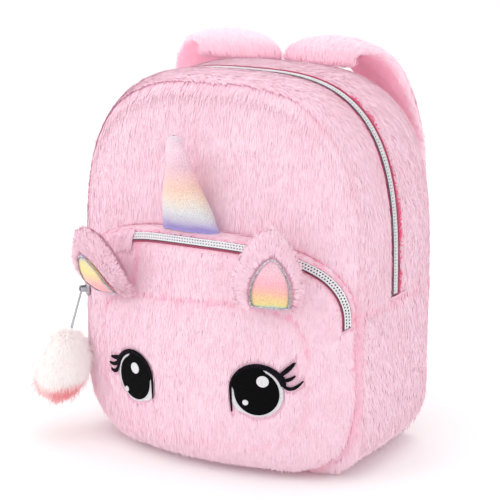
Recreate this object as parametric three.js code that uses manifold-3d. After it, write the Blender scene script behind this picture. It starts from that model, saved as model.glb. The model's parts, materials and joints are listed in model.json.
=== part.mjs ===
// A kids' plush unicorn backpack: a hollow arched bag with a zipped top, a bulging zipped face
// pocket, a satin horn, two ears, embroidered eyes, a pompom on the pocket's pull and two straps.
// Millimetres, +Z up. The face looks along -Y and the origin is under the middle of the flat bottom.
import * as THREE from 'three';
import { mergeVertices } from 'three/addons/utils/BufferGeometryUtils.js';
import Module from 'manifold-3d';

const wasm = await Module();
wasm.setup();

// Clearances
const seamGap = 0.25;
const seatGap = 0.4;
const rimGap = 0.85;
const shelfGap = 1.2;
const endGap = 0.95;
const pocketEndGap = 1.3;

// Main bag
const bag = {
  width: 240,
  height: 278,
  depth: 114,
  wall: 6,
  bottomCorner: 40,
  archStart: 126,
  archPower: 3.1,
  seamInset: 5,
  seamSetback: 5,
  bottomEdge: 2,
  frontDome: 7,
  backDome: 1,
};

// Main zipper: the slit between the two gussets, and how deep the tape lies under their edges
const mainZip = { y: -9, slit: 8, inset: 3, recess: 2.2, tape: 1.4, teethWidth: 5, teethHeight: 1.8 };

// Face pocket: its rim on the bag, and its domed face inside the seam, tilted a little in the front
// view as the stuffed pocket hangs
const pocket = {
  width: 224,
  bottom: 6.5,
  top: 170,
  archStart: 116,
  archPower: 2.7,
  corner: 50,
  depth: 40,
  wall: 5,
  puff: 4,
  sag: 9,
  sideRoll: 21,
  endRoll: 4,
  faceWidth: 170,
  faceBottom: 27,
  faceTop: 129,
  faceArchStart: 92,
  faceArchPower: 3.4,
  faceCorner: 34,
  faceTilt: 0.06,
};

// Pocket zipper: its centre line is this share of the way from the bag to the face seam
const pocketZip = {
  share: 0.44,
  slit: 7.2,
  edgeGap: 1.15,
  recess: 1.9,
  tape: 1.2,
  teethWidth: 4.6,
  teethHeight: 1.6,
};

// Broad dents of the soft panels: places as shares of half the width and of the height, reach as a
// share of half the width
const panelDents = [
  { across: -0.45, up: 0.76, reach: 0.2, depth: 1.5 },
  { across: 0.5, up: 0.74, reach: 0.18, depth: 2 },
  { across: 0.12, up: 0.88, reach: 0.14, depth: 1.2 },
];
const pocketDents = [
  { across: -0.4, up: 0.93, reach: 0.14, depth: 2.5 },
  { across: 0.02, up: 0.3, reach: 0.16, depth: 1.5 },
  { across: 0.8, up: 0.18, reach: 0.16, depth: 2 },
];

// Horn: it stands on the pocket's back gusset, behind the zipper, and leans forward
const horn = { across: -9, height: 70, width: 43, depth: 21, leanForward: 17, leanSideways: -4 };
const hornSections = [
  { up: 0, width: 1, depth: 0.42 },
  { up: 0.07, width: 0.96, depth: 0.66 },
  { up: 0.2, width: 0.86, depth: 0.96 },
  { up: 0.4, width: 0.69, depth: 0.9 },
  { up: 0.6, width: 0.52, depth: 0.74 },
  { up: 0.8, width: 0.35, depth: 0.54 },
  { up: 0.94, width: 0.24, depth: 0.38 },
  { up: 0.985, width: 0.17, depth: 0.24 },
  { up: 1, width: 0.05, depth: 0.08 },
];

// Ears: padded, cupped forward and set on the face seam, each with a satin patch
const ear = {
  width: 48,
  height: 56,
  thick: 17,
  cup: 5,
  patchWidth: 29,
  patchHeight: 37,
  patchThick: 1,
  patchLift: 0.9,
};
const earSections = [
  { up: 0, width: 0.78, thick: 0.45 },
  { up: 0.12, width: 0.92, thick: 0.75 },
  { up: 0.3, width: 1, thick: 1 },
  { up: 0.5, width: 0.95, thick: 1 },
  { up: 0.7, width: 0.77, thick: 0.88 },
  { up: 0.86, width: 0.52, thick: 0.7 },
  { up: 0.96, width: 0.26, thick: 0.45 },
  { up: 1, width: 0.06, thick: 0.12 },
];
const patchSections = [
  { up: 0.02, width: 0.92 },
  { up: 0.3, width: 1 },
  { up: 0.55, width: 0.9 },
  { up: 0.78, width: 0.62 },
  { up: 0.93, width: 0.3 },
  { up: 1, width: 0.08 },
];
// Ear places as shares of half the face's width, how far above the seam they stand, and turns about the
// upright, leans in the ear's own plane and nods forward, in radians
const earPlaces = [
  { side: 'left', across: -0.8, above: 3, turn: -0.32, lean: -0.1, nod: 0.48 },
  { side: 'right', across: 0.78, above: 1.5, turn: 0.42, lean: 0.06, nod: 0.06 },
];

// Eyes: stacked embroidered sheets on the pocket's face
const eye = {
  spread: 50,
  shift: 3,
  up: 63,
  width: 37,
  height: 36,
  pupilWidth: 31,
  pupilHeight: 32,
  sheet: 0.8,
  sheetGap: 0.35,
  lid: 2,
  lidGap: 0.5,
};
const glints = [
  { name: 'large', across: 4.6, up: 5.4, radius: 4.8 },
  { name: 'small', across: -7.8, up: -9.2, radius: 2.3 },
];
// Lashes, in the eye's plane: where each leaves the lid, and its tip, as shares of half the eye
const lashes = [
  { fromAngle: 56, tipAcross: 1.42, tipUp: 1.2 },
  { fromAngle: 41, tipAcross: 1.54, tipUp: 0.8 },
  { fromAngle: 27, tipAcross: 1.64, tipUp: 0.44 },
];
const lidAngles = { start: 22, end: 214 };
// How much lower the left eye's lashes lie: degrees along the lid, and a share of half the eye
const lashDroop = { left: { angle: 4, up: 0.36 }, right: { angle: 0, up: 0 } };

// Straps: the padded part leaves the bag's top seam, loops back and comes down to the webbing. As they
// lie, both drift to the left at the top
const strap = { width: 60, lowWidth: 46, thick: 10, webbing: 25, webbingThick: 2, drift: -7 };
const adjuster = { width: 32, thick: 4 };
// Route of a strap: shares of half the bag's width, its depth and its height, with the turn of the
// strap's width away from the bag's back in degrees, and how much of the side's splay it takes
const strapRoute = [
  { across: 0.275, back: 0.39, up: 0.99, turn: 10, loose: 0 },
  { across: 0.285, back: 0.385, up: 1.013, turn: 10, loose: 0.1 },
  { across: 0.317, back: 0.42, up: 1.03, turn: 13, loose: 0.35 },
  { across: 0.39, back: 0.51, up: 1.03, turn: 17, loose: 0.7 },
  { across: 0.485, back: 0.6, up: 1.0, turn: 21, loose: 0.9 },
  { across: 0.565, back: 0.655, up: 0.94, turn: 24, loose: 1 },
  { across: 0.61, back: 0.695, up: 0.865, turn: 24, loose: 1 },
  { across: 0.622, back: 0.74, up: 0.77, turn: 21, loose: 0.8 },
  { across: 0.61, back: 0.775, up: 0.65, turn: 16, loose: 0.5 },
  { across: 0.59, back: 0.775, up: 0.54, turn: 10, loose: 0.2 },
  { across: 0.585, back: 0.745, up: 0.43, turn: 5, loose: 0 },
];
// The straps lie loose, so each side splays by a share of half the bag's width of its own
const strapSides = [
  { side: 'left', sign: -1, splay: 0.12 },
  { side: 'right', sign: 1, splay: 0 },
];
// Route of the webbing under it: off is how far it stands behind the back panel, as a share of the depth
const webbingRoute = [
  { across: 0.585, off: 0.208, up: 0.375, turn: 5 },
  { across: 0.588, off: 0.19, up: 0.33, turn: 4 },
  { across: 0.65, off: 0.125, up: 0.25, turn: 0 },
  { across: 0.72, off: 0.03, up: 0.165, turn: 0 },
  { across: 0.735, off: 0, up: 0.125, turn: 0 },
  { across: 0.74, off: 0, up: 0.09, turn: 0 },
];

// Pull and pompom: a bar hinged on the pocket slider's pin, with the pompom on its lower end
const pull = { pin: 0.9, bore: 1.35, eye: 2.6, bar: 1.7, barWidth: 4, length: 31 };
const pompom = { width: 43, height: 56, endGap: 0.35 };
const slider = { width: 7.6, length: 11, body: 2.6, lug: 1.3, lugHeight: 3.6, lugGap: 0.35, eyeGap: 0.4 };
const mainSlider = { width: 9, length: 13, thick: 3 };

const bottomSteps = 4;
const cornerSteps = 5;
const sideSteps = 3;
const archSteps = 13;
const lowerSteps = bottomSteps + cornerSteps + sideSteps;
const halfSteps = lowerSteps + archSteps;

const plush = { colour: 0xf8c8dc, roughness: 0.95, metalness: 0 };
const silver = { colour: 0xc9ccd1, roughness: 0.35, metalness: 0.9 };
const tapePink = { colour: 0xf2b8cc, roughness: 0.9, metalness: 0 };
const satin = { colour: 0xd9c6e6, roughness: 0.4, metalness: 0 };
const black = { colour: 0x151515, roughness: 0.7, metalness: 0 };
const white = { colour: 0xf6f4f2, roughness: 0.7, metalness: 0 };
const cream = { colour: 0xf3dcd2, roughness: 0.95, metalness: 0 };

const lerp = THREE.MathUtils.lerp;
const backpack = new THREE.Group();

// Adds a named piece with its own material.
function add(name, geometry, look, parent = backpack) {
  const material = new THREE.MeshStandardMaterial({
    color: look.colour,
    roughness: look.roughness,
    metalness: look.metalness,
  });
  const mesh = new THREE.Mesh(geometry, material);
  mesh.name = name;
  parent.add(mesh);
  return mesh;
}

// Signed volume of an indexed triangle list, positive where the faces point out.
function signedVolume(positions, index) {
  let volume = 0;
  const [a, b, c] = [new THREE.Vector3(), new THREE.Vector3(), new THREE.Vector3()];
  for (let i = 0; i < index.length; i += 3) {
    a.fromArray(positions, 3 * index[i]);
    b.fromArray(positions, 3 * index[i + 1]);
    c.fromArray(positions, 3 * index[i + 2]);
    volume += a.dot(b.cross(c)) / 6;
  }
  return volume;
}

// A closed solid through rings of equal count, with both ends zipped shut from side to side.
function loft(rings) {
  const count = rings[0].length;
  const index = [];
  const quad = (a, b, c, d) => index.push(a, b, c, a, c, d);
  for (let k = 0; k + 1 < rings.length; k += 1) {
    for (let i = 0; i < count; i += 1) {
      const j = (i + 1) % count;
      quad(k * count + i, k * count + j, (k + 1) * count + j, (k + 1) * count + i);
    }
  }
  const last = (rings.length - 1) * count;
  for (let i = 0; i + 1 < count / 2; i += 1) {
    quad(count - 1 - i, count - 2 - i, i + 1, i);
    quad(last + i, last + i + 1, last + count - 2 - i, last + count - 1 - i);
  }
  const positions = rings.flat().flatMap((point) => point.toArray());
  if (signedVolume(positions, index) < 0) {
    index.reverse();
  }
  const geometry = new THREE.BufferGeometry();
  geometry.setAttribute('position', new THREE.Float32BufferAttribute(positions, 3));
  geometry.setIndex(index);
  return geometry;
}

// Turns a geometry into a solid that can be joined or cut.
function toSolid(geometry) {
  const plain = geometry.clone();
  plain.deleteAttribute('normal');
  plain.deleteAttribute('uv');
  const merged = mergeVertices(plain);
  return new wasm.Manifold(new wasm.Mesh({
    numProp: 3,
    vertProperties: new Float32Array(merged.attributes.position.array),
    triVerts: new Uint32Array(merged.index.array),
  }));
}

function toGeometry(solid) {
  const mesh = solid.getMesh();
  const geometry = new THREE.BufferGeometry();
  geometry.setAttribute('position', new THREE.Float32BufferAttribute(mesh.vertProperties, 3));
  geometry.setIndex(new THREE.Uint32BufferAttribute(mesh.triVerts, 1));
  return geometry;
}

function union(geometries) {
  return toGeometry(geometries.map(toSolid).reduce((whole, next) => whole.add(next)));
}

// Right half of an arched outline, from the bottom centre to the top centre, in the XZ plane.
function halfOutline(form) {
  const points = [];
  const { half, bottom, top, archStart, corner, power } = form;
  for (let i = 0; i <= bottomSteps; i += 1) {
    points.push(new THREE.Vector2((half - corner) * i / bottomSteps, bottom));
  }
  for (let i = 1; i <= cornerSteps; i += 1) {
    const angle = Math.PI / 2 * i / cornerSteps;
    const x = half - corner + corner * Math.sin(angle);
    points.push(new THREE.Vector2(x, bottom + corner - corner * Math.cos(angle)));
  }
  for (let i = 1; i <= sideSteps; i += 1) {
    points.push(new THREE.Vector2(half, lerp(bottom + corner, archStart, i / sideSteps)));
  }
  for (let i = 1; i <= archSteps; i += 1) {
    const angle = Math.PI / 2 * i / archSteps;
    const x = half * Math.max(Math.cos(angle), 0) ** (2 / power);
    points.push(new THREE.Vector2(x, archStart + (top - archStart) * Math.sin(angle) ** (2 / power)));
  }
  return points;
}

// Whole outline: up the right side, over the top and down the left side.
function outline(form) {
  const right = halfOutline(form);
  const left = right.slice(1, -1).reverse().map((point) => new THREE.Vector2(-point.x, point.y));
  return [...right, ...left];
}

// Stations along a whole outline that lie on the arch, or below it on the sides and bottom.
const ringCount = 2 * halfSteps;
const archStations = [];
for (let i = lowerSteps; i <= ringCount - lowerSteps; i += 1) {
  archStations.push(i);
}
const lowerStations = [];
for (let i = ringCount - lowerSteps; i <= ringCount + lowerSteps; i += 1) {
  lowerStations.push(i % ringCount);
}

function bagForm(inset, bottomInset) {
  return {
    half: bag.width / 2 - inset,
    bottom: bottomInset,
    top: bag.height - inset,
    archStart: bag.archStart,
    corner: bag.bottomCorner - inset * 0.4,
    power: bag.archPower,
  };
}

// Share of the way from a ring's centre out to the ring, for a point in its plane.
function radialShare(ring, centre, x, z) {
  const dx = x - centre.x;
  const dz = z - centre.y;
  for (let i = 0; i < ring.length; i += 1) {
    const a = ring[i];
    const b = ring[(i + 1) % ring.length];
    const ex = b.x - a.x;
    const ez = b.y - a.y;
    const det = dx * ez - dz * ex;
    if (Math.abs(det) > 1e-9) {
      const ax = a.x - centre.x;
      const az = a.y - centre.y;
      const reach = (ax * ez - az * ex) / det;
      const along = (ax * dz - az * dx) / det;
      if (reach > 0 && along >= -1e-9 && along <= 1 + 1e-9) {
        return 1 / reach;
      }
    }
  }
  return 0;
}

// Forward or backward dents of a soft panel at a point.
function dentDepth(dents, halfWidth, height, x, z) {
  let depth = 0;
  for (const dent of dents) {
    const dx = (x / halfWidth - dent.across) / dent.reach;
    const dz = (z - height * dent.up) / (dent.reach * halfWidth);
    depth += dent.depth * Math.exp(-dx * dx - dz * dz);
  }
  return depth;
}

// Front and back panels of the main bag
const bagCentre = new THREE.Vector2(0, bag.height / 2);
const seamRing = outline(bagForm(bag.seamInset, bag.bottomEdge));
const frontSeamY = -bag.depth / 2 + bag.seamSetback;
const backSeamY = bag.depth / 2 - bag.seamSetback;
const frontRows = [
  { share: 1, out: 0 },
  { share: 0.965, out: 0.36 },
  { share: 0.91, out: 0.58 },
  { share: 0.8, out: 0.76 },
  { share: 0.6, out: 0.9 },
  { share: 0.35, out: 0.98 },
  { share: 0.1, out: 1 },
];
const backRows = [
  { share: 1, out: 0 },
  { share: 0.96, out: 0.6 },
  { share: 0.88, out: 1 },
  { share: 0.5, out: 1 },
  { share: 0.1, out: 1 },
];

function rowOut(rows, share) {
  for (let i = 0; i + 1 < rows.length; i += 1) {
    if (share >= rows[i + 1].share) {
      const t = (rows[i].share - share) / (rows[i].share - rows[i + 1].share);
      return lerp(rows[i].out, rows[i + 1].out, Math.max(t, 0));
    }
  }
  return 1;
}

// Outer face of the main front panel at a point in the front view.
function frontPanelY(x, z) {
  const share = radialShare(seamRing, bagCentre, x, z);
  const out = rowOut(frontRows, share) * (bag.seamSetback + bag.frontDome);
  const fade = THREE.MathUtils.clamp((1 - share) * 4, 0, 1);
  return frontSeamY - out + fade * dentDepth(panelDents, bag.width / 2, bag.height, x, z);
}

function backPanelY(x, z) {
  const share = radialShare(seamRing, bagCentre, x, z);
  return backSeamY + rowOut(backRows, share) * (bag.seamSetback + bag.backDome);
}

// A dished panel: rings of its outer face from the middle out, then its inner face back in.
function dishedPanel(ring, innerRing, centre, shares, surfaceY, thickness) {
  const ringAt = (edge, share, lift, shrink) => edge.map((point) => {
    const length = Math.hypot(point.x - centre.x, point.y - centre.y);
    const kept = share - shrink / length;
    const x = centre.x + (point.x - centre.x) * kept;
    const z = centre.y + (point.y - centre.y) * kept;
    return new THREE.Vector3(x, surfaceY(x, z) + lift, z);
  });
  const outer = [...shares].reverse().map((share) => ringAt(ring, share, 0, share === 1 ? seamGap : 0));
  const rim = ringAt(innerRing, 1, 0, seamGap);
  rim.forEach((point, i) => {
    point.y = outer[outer.length - 1][i].y + thickness;
  });
  const innerShares = shares.filter((share, i) => i >= 2 && i % 2 === 0);
  const inner = innerShares.map((share) => ringAt(ring, share, thickness, 0));
  return loft([...outer, rim, ...inner]);
}

const innerSeamRing = outline(bagForm(bag.seamInset + bag.wall, bag.bottomEdge + bag.wall));
const frontShares = frontRows.map((row) => row.share);
const backShares = backRows.map((row) => row.share);
const frontPanel = dishedPanel(seamRing, innerSeamRing, bagCentre, frontShares, frontPanelY, bag.wall);
const backPanel = dishedPanel(seamRing, innerSeamRing, bagCentre, backShares, backPanelY, -bag.wall);
add('front_panel', frontPanel, plush);
add('back_panel', backPanel, plush);

// Lowers the first and last section of a strip, to stop it short of the strip above.
function dropEnds(sections, gap) {
  for (const section of [sections[0], sections[sections.length - 1]]) {
    section.forEach((point) => {
      point.z -= gap;
    });
  }
  return sections;
}

// Sections along the bag's side wall: each row gives its depth place and how far it lies in.
function gussetSections(rows, stations, thickness = bag.wall) {
  const outer = rows.map((row) => outline(bagForm(row.inset, row.bottomInset)));
  const inner = rows.map((row) => outline(bagForm(row.inset + thickness, row.bottomInset + thickness)));
  return stations.map((k) => {
    const front = rows.map((row, i) => new THREE.Vector3(outer[i][k].x, row.y, outer[i][k].y));
    const back = rows.map((row, i) => new THREE.Vector3(inner[i][k].x, row.innerY, inner[i][k].y));
    return [...front, ...back.reverse()];
  });
}

// Rows across a gusset, bowed outwards between its two edges.
function gussetRows(startY, endY, startInset, endInset, startMitre, endMitre, shares) {
  return shares.map((share) => {
    const edge = share < 0.5 ? startInset : endInset;
    const isStart = share === 0;
    const isEnd = share === 1;
    const y = lerp(startY, endY, share);
    const mitre = (isStart ? startMitre : 0) - (isEnd ? endMitre : 0);
    return {
      y,
      innerY: y + mitre,
      inset: edge * (2 * share - 1) ** 2,
      bottomInset: isStart || isEnd ? bag.bottomEdge : 0,
    };
  });
}

const upperShares = [0, 0.2, 0.5, 0.8, 1];
const lowerShares = [0, 0.07, 0.3, 0.7, 0.93, 1];
const zipFrontY = mainZip.y - mainZip.slit / 2;
const zipBackY = mainZip.y + mainZip.slit / 2;
const gussetFrontY = frontSeamY + seamGap;
const gussetBackY = backSeamY - seamGap;
const { seamInset, wall } = bag;
const frontGusset = gussetRows(gussetFrontY, zipFrontY, seamInset, mainZip.inset, wall, 0, upperShares);
const backGusset = gussetRows(zipBackY, gussetBackY, mainZip.inset, seamInset, 0, wall, upperShares);
const lowerGusset = gussetRows(gussetFrontY, gussetBackY, seamInset, seamInset, wall, wall, lowerShares);
add('front_gusset', loft(gussetSections(frontGusset, archStations)), plush);
add('back_gusset', loft(gussetSections(backGusset, archStations)), plush);
add('lower_gusset', loft(dropEnds(gussetSections(lowerGusset, lowerStations), endGap)), plush);

// Main zipper: a tape sunk between the gussets' edges, the teeth on it and a plain slider
function zipRows(halfWidth, inset) {
  return [-1, 1].map((side) => {
    const y = mainZip.y + side * halfWidth;
    return { y, innerY: y, inset, bottomInset: 0 };
  });
}
const tapeInset = mainZip.inset + mainZip.recess;
const teethInset = tapeInset - seamGap - mainZip.teethHeight;
const mainTape = zipRows(mainZip.slit / 2 - seamGap, tapeInset);
const mainTeeth = zipRows(mainZip.teethWidth / 2, teethInset);
add('main_zipper_tape', loft(gussetSections(mainTape, archStations, mainZip.tape)), tapePink);
add('main_zipper_teeth', loft(gussetSections(mainTeeth, archStations, mainZip.teethHeight)), silver);

// Pocket
const pocketFrontY = -bag.depth / 2 - pocket.depth;
const pocketCentre = new THREE.Vector2(0, (pocket.faceBottom + pocket.faceTop) / 2);
const faceHalfHeight = (pocket.faceTop - pocket.faceBottom) / 2;

// Outer face of the pocket at a point in the front view.
function pocketFaceY(x, z) {
  const across = x / (pocket.faceWidth / 2);
  const up = (z - pocketCentre.y) / faceHalfHeight;
  const roll = pocket.sideRoll * across * across + pocket.endRoll * up * up;
  return pocketFrontY + roll + dentDepth(pocketDents, pocket.width / 2, pocket.top, x, z);
}

function pocketForm(inset) {
  return {
    half: pocket.width / 2 - inset,
    bottom: pocket.bottom + inset,
    top: pocket.top - inset,
    archStart: pocket.archStart,
    corner: pocket.corner - inset * 0.4,
    power: pocket.archPower,
  };
}

function faceForm(inset) {
  return {
    half: pocket.faceWidth / 2 - inset,
    bottom: pocket.faceBottom + inset,
    top: pocket.faceTop - inset,
    archStart: pocket.faceArchStart,
    corner: pocket.faceCorner - inset * 0.4,
    power: pocket.faceArchPower,
  };
}

function faceOutline(inset) {
  return outline(faceForm(inset)).map((point) => point.rotateAround(pocketCentre, pocket.faceTilt));
}

// The pocket's wall runs from its rim on the bag, round a control point that puffs out at the sides
// and sags at the bottom, to the face seam.
const faceRing = faceOutline(0);
function wallCurves(inset) {
  const rim = outline(pocketForm(inset));
  const seam = faceOutline(inset);
  return rim.map((edge, i) => {
    const outward = edge.clone().sub(pocketCentre).normalize();
    const swell = lerp(pocket.puff, pocket.sag, Math.max(-outward.y, 0));
    const puffed = edge.clone().addScaledVector(outward, swell);
    const start = new THREE.Vector3(edge.x, frontPanelY(edge.x, edge.y) - rimGap, edge.y);
    const middle = new THREE.Vector3(puffed.x, pocketFaceY(edge.x, edge.y) + inset, puffed.y);
    const endY = pocketFaceY(faceRing[i].x, faceRing[i].y) + inset;
    const end = new THREE.Vector3(seam[i].x, endY, seam[i].y);
    middle.y = Math.min(middle.y, start.y);
    return new THREE.QuadraticBezierCurve3(start, middle, end);
  });
}
const outerWall = wallCurves(0);
const innerWall = wallCurves(pocket.wall);

// A point in the pocket's wall: station round the outline, share from rim to seam, and depth in mm.
function wallPoint(station, share, sunk) {
  const outer = outerWall[station].getPoint(share);
  const inner = innerWall[station].getPoint(share);
  return outer.lerp(inner, sunk / pocket.wall);
}

// Share taken along the wall by a width in mm, near the zipper.
function zipShare(station, width) {
  const a = outerWall[station].getPoint(pocketZip.share - 0.05);
  const b = outerWall[station].getPoint(pocketZip.share + 0.05);
  return 0.1 * width / a.distanceTo(b);
}

// Sections of the pocket's wall between two shares given for each station.
function wallSections(stations, startShare, endShare, steps, sunkTop, sunkBottom) {
  return stations.map((k) => {
    const shares = [];
    for (let i = 0; i <= steps; i += 1) {
      shares.push(lerp(startShare(k), endShare(k), i / steps));
    }
    const top = shares.map((share) => wallPoint(k, share, sunkTop));
    const low = shares.map((share) => wallPoint(k, share, sunkBottom));
    return [...top, ...low.reverse()];
  });
}

const zipStart = (k) => pocketZip.share - zipShare(k, pocketZip.slit / 2);
const zipEnd = (k) => pocketZip.share + zipShare(k, pocketZip.slit / 2);
const faceShares = [1, 0.9, 0.75, 0.55, 0.3, 0.08];
const innerFaceRing = faceOutline(pocket.wall);
const facePanel = dishedPanel(faceRing, innerFaceRing, pocketCentre, faceShares, pocketFaceY, pocket.wall);
add('pocket_face', facePanel, plush);

const backSections = wallSections(archStations, () => 0, zipStart, 2, 0, pocket.wall);
const browSections = wallSections(archStations, zipEnd, () => 1, 4, 0, pocket.wall);
const sideSections = wallSections(lowerStations, () => 0, () => 1, 4, 0, pocket.wall);
add('pocket_back_gusset', loft(backSections), plush);
add('pocket_brow', loft(browSections), plush);
add('pocket_side_gusset', loft(dropEnds(sideSections, pocketEndGap)), plush);

const tapeStart = (k) => pocketZip.share - zipShare(k, pocketZip.slit / 2 - pocketZip.edgeGap);
const tapeEnd = (k) => pocketZip.share + zipShare(k, pocketZip.slit / 2 - pocketZip.edgeGap);
const teethStart = (k) => pocketZip.share - zipShare(k, pocketZip.teethWidth / 2);
const teethEnd = (k) => pocketZip.share + zipShare(k, pocketZip.teethWidth / 2);
const tapeTop = pocketZip.recess;
const tapeLow = tapeTop + pocketZip.tape;
const teethLow = tapeTop - seatGap;
const teethTop = teethLow - pocketZip.teethHeight;
const pocketTape = wallSections(archStations, tapeStart, tapeEnd, 1, tapeTop, tapeLow);
const pocketTeeth = wallSections(archStations, teethStart, teethEnd, 1, teethTop, teethLow);
add('pocket_zipper_tape', loft(pocketTape), tapePink);
add('pocket_zipper_teeth', loft(pocketTeeth), silver);

// Height of the pocket's back gusset above the floor at a place behind the zipper, at the top.
function pocketShelfZ(y) {
  const curve = outerWall[halfSteps];
  let low = 0;
  let high = 1;
  for (let i = 0; i < 24; i += 1) {
    const middle = (low + high) / 2;
    if (curve.getPoint(middle).y > y) {
      low = middle;
    } else {
      high = middle;
    }
  }
  return curve.getPoint(low).z;
}

// Closed loop of a rounded section, each point mirrored by the one that closes the ends.
function roundedLoop(halfWidth, halfDepth, count, power) {
  const loop = [];
  for (let i = 0; i < count; i += 1) {
    const angle = 2 * Math.PI * (i + 0.5) / count;
    const c = Math.cos(angle);
    const s = Math.sin(angle);
    const x = halfWidth * Math.sign(c) * Math.abs(c) ** (2 / power);
    const y = halfDepth * Math.sign(s) * Math.abs(s) ** (2 / power);
    loop.push(new THREE.Vector2(x, y));
  }
  return loop;
}

// Horn
const shelfBackY = outerWall[halfSteps].getPoint(0).y;
const shelfFrontY = outerWall[halfSteps].getPoint(zipStart(halfSteps)).y;
const hornBaseY = (shelfBackY + shelfFrontY) / 2;
const hornBaseZ = pocketShelfZ(shelfBackY) + shelfGap;
function buildHorn() {
  return loft(hornSections.map((section) => {
    const loop = roundedLoop(horn.width * section.width / 2, horn.depth * section.depth / 2, 16, 2);
    const bend = section.up ** 0.8;
    return loop.map((point) => {
      const x = horn.across + point.x + horn.leanSideways * section.up;
      const y = hornBaseY + point.y - horn.leanForward * bend;
      const z = section.up === 0 ? pocketShelfZ(y) + shelfGap : hornBaseZ + horn.height * section.up;
      return new THREE.Vector3(x, y, z);
    });
  }));
}
add('horn', buildHorn(), satin);

// Ears
function earHalfWidth(up) {
  return ear.width / 2 * tableValue(earSections, up, 'width');
}

function tableValue(table, up, column) {
  for (let i = 0; i + 1 < table.length; i += 1) {
    if (up <= table[i + 1].up) {
      const t = (up - table[i].up) / (table[i + 1].up - table[i].up);
      return lerp(table[i][column], table[i + 1][column], t);
    }
  }
  return table[table.length - 1][column];
}

// How far the ear's front stands before its middle plane, across its half width.
function earFront(across, up) {
  const half = earHalfWidth(up);
  const share = Math.min(Math.abs(across) / half, 1);
  const thick = ear.thick / 2 * tableValue(earSections, up, 'thick');
  return thick * (1 - share ** 2.4) ** 0.7 + earCup(across, up);
}

function earCup(across, up) {
  return ear.cup * (across / (ear.width / 2)) ** 2 * Math.sin(Math.PI * Math.min(up + 0.12, 1));
}

const earColumns = [-1, -0.93, -0.72, -0.36, 0, 0.36, 0.72, 0.93, 1];
function buildEar() {
  return loft(earSections.map((section) => {
    const half = ear.width / 2 * section.width;
    const front = earColumns.map((share) => {
      const x = share * half;
      return new THREE.Vector3(x, -earFront(x, section.up), ear.height * section.up);
    });
    const back = earColumns.slice(1, -1).map((share) => {
      const x = share * half;
      const bulge = earFront(x, section.up) - earCup(x, section.up);
      return new THREE.Vector3(x, bulge - earCup(x, section.up), ear.height * section.up);
    });
    const loop = [...front, ...back.reverse()];
    return [...loop.slice(1), loop[0]];
  }));
}

// Forward place at which every corner of a piece just clears the pocket's face and its brow.
function clearOfPocket(shape, matrix) {
  const corner = new THREE.Vector3();
  const { position } = shape.attributes;
  let forward = Infinity;
  for (let i = 0; i < position.count; i += 1) {
    corner.fromBufferAttribute(position, i).applyMatrix4(matrix);
    forward = Math.min(forward, pocketFaceY(corner.x, corner.z) - corner.y - seatGap);
  }
  return forward;
}

function buildEarPatch() {
  const columns = [-1, -0.5, 0, 0.5, 1];
  return loft(patchSections.map((section) => {
    const up = ear.patchHeight / ear.height * section.up;
    const at = (share, lift) => {
      const x = share * section.width * ear.patchWidth / 2;
      return new THREE.Vector3(x, -earFront(x, up) - lift, ear.height * up);
    };
    const low = columns.map((share) => at(share, ear.patchLift));
    const high = columns.map((share) => at(share, ear.patchLift + ear.patchThick));
    return [...high, ...low.reverse()];
  }));
}

for (const place of earPlaces) {
  const { faceArchStart, faceArchPower, faceTop } = pocket;
  const rise = (1 - Math.abs(place.across) ** faceArchPower) ** (1 / faceArchPower);
  const seat = new THREE.Vector2(place.across * pocket.faceWidth / 2, lerp(faceArchStart, faceTop, rise));
  seat.rotateAround(pocketCentre, pocket.faceTilt);
  const holder = new THREE.Group();
  holder.rotation.set(place.nod, place.lean, place.turn, 'ZYX');
  holder.position.set(seat.x, 0, seat.y + place.above);
  holder.updateMatrix();
  const shape = buildEar();
  holder.position.y = clearOfPocket(shape, holder.matrix);
  backpack.add(holder);
  add(`ear_${place.side}`, shape, plush, holder);
  add(`ear_patch_${place.side}`, buildEarPatch(), satin, holder);
}

// A thin sheet lying on the pocket's face, from its middle out to its edge and back.
function faceSheet(centreX, centreZ, halfWidth, halfHeight, lift, shares, count) {
  const loop = roundedLoop(halfWidth, halfHeight, count, 2);
  const ringAt = (share, height) => loop.map((point) => {
    const x = centreX + point.x * share;
    const z = centreZ + point.y * share;
    return new THREE.Vector3(x, pocketFaceY(x, z) - height, z);
  });
  const top = shares.map((share) => ringAt(share, lift + eye.sheet));
  const low = [...shares].reverse().map((share) => ringAt(share, lift));
  return loft([...top, ...low]);
}

// A tapering stitched line on the pocket's face through points given as { x, z, width }.
function faceStroke(points, lift) {
  return loft(points.map((point, i) => {
    const before = points[Math.max(i - 1, 0)];
    const after = points[Math.min(i + 1, points.length - 1)];
    const along = new THREE.Vector2(after.x - before.x, after.z - before.z).normalize();
    const at = (side, height) => {
      const x = point.x - along.y * side * point.width / 2;
      const z = point.z + along.x * side * point.width / 2;
      return new THREE.Vector3(x, pocketFaceY(x, z) - height, z);
    };
    const top = lift + eye.sheet;
    return [at(-1, top), at(1, top), at(1, lift), at(-1, lift)];
  }));
}

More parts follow.
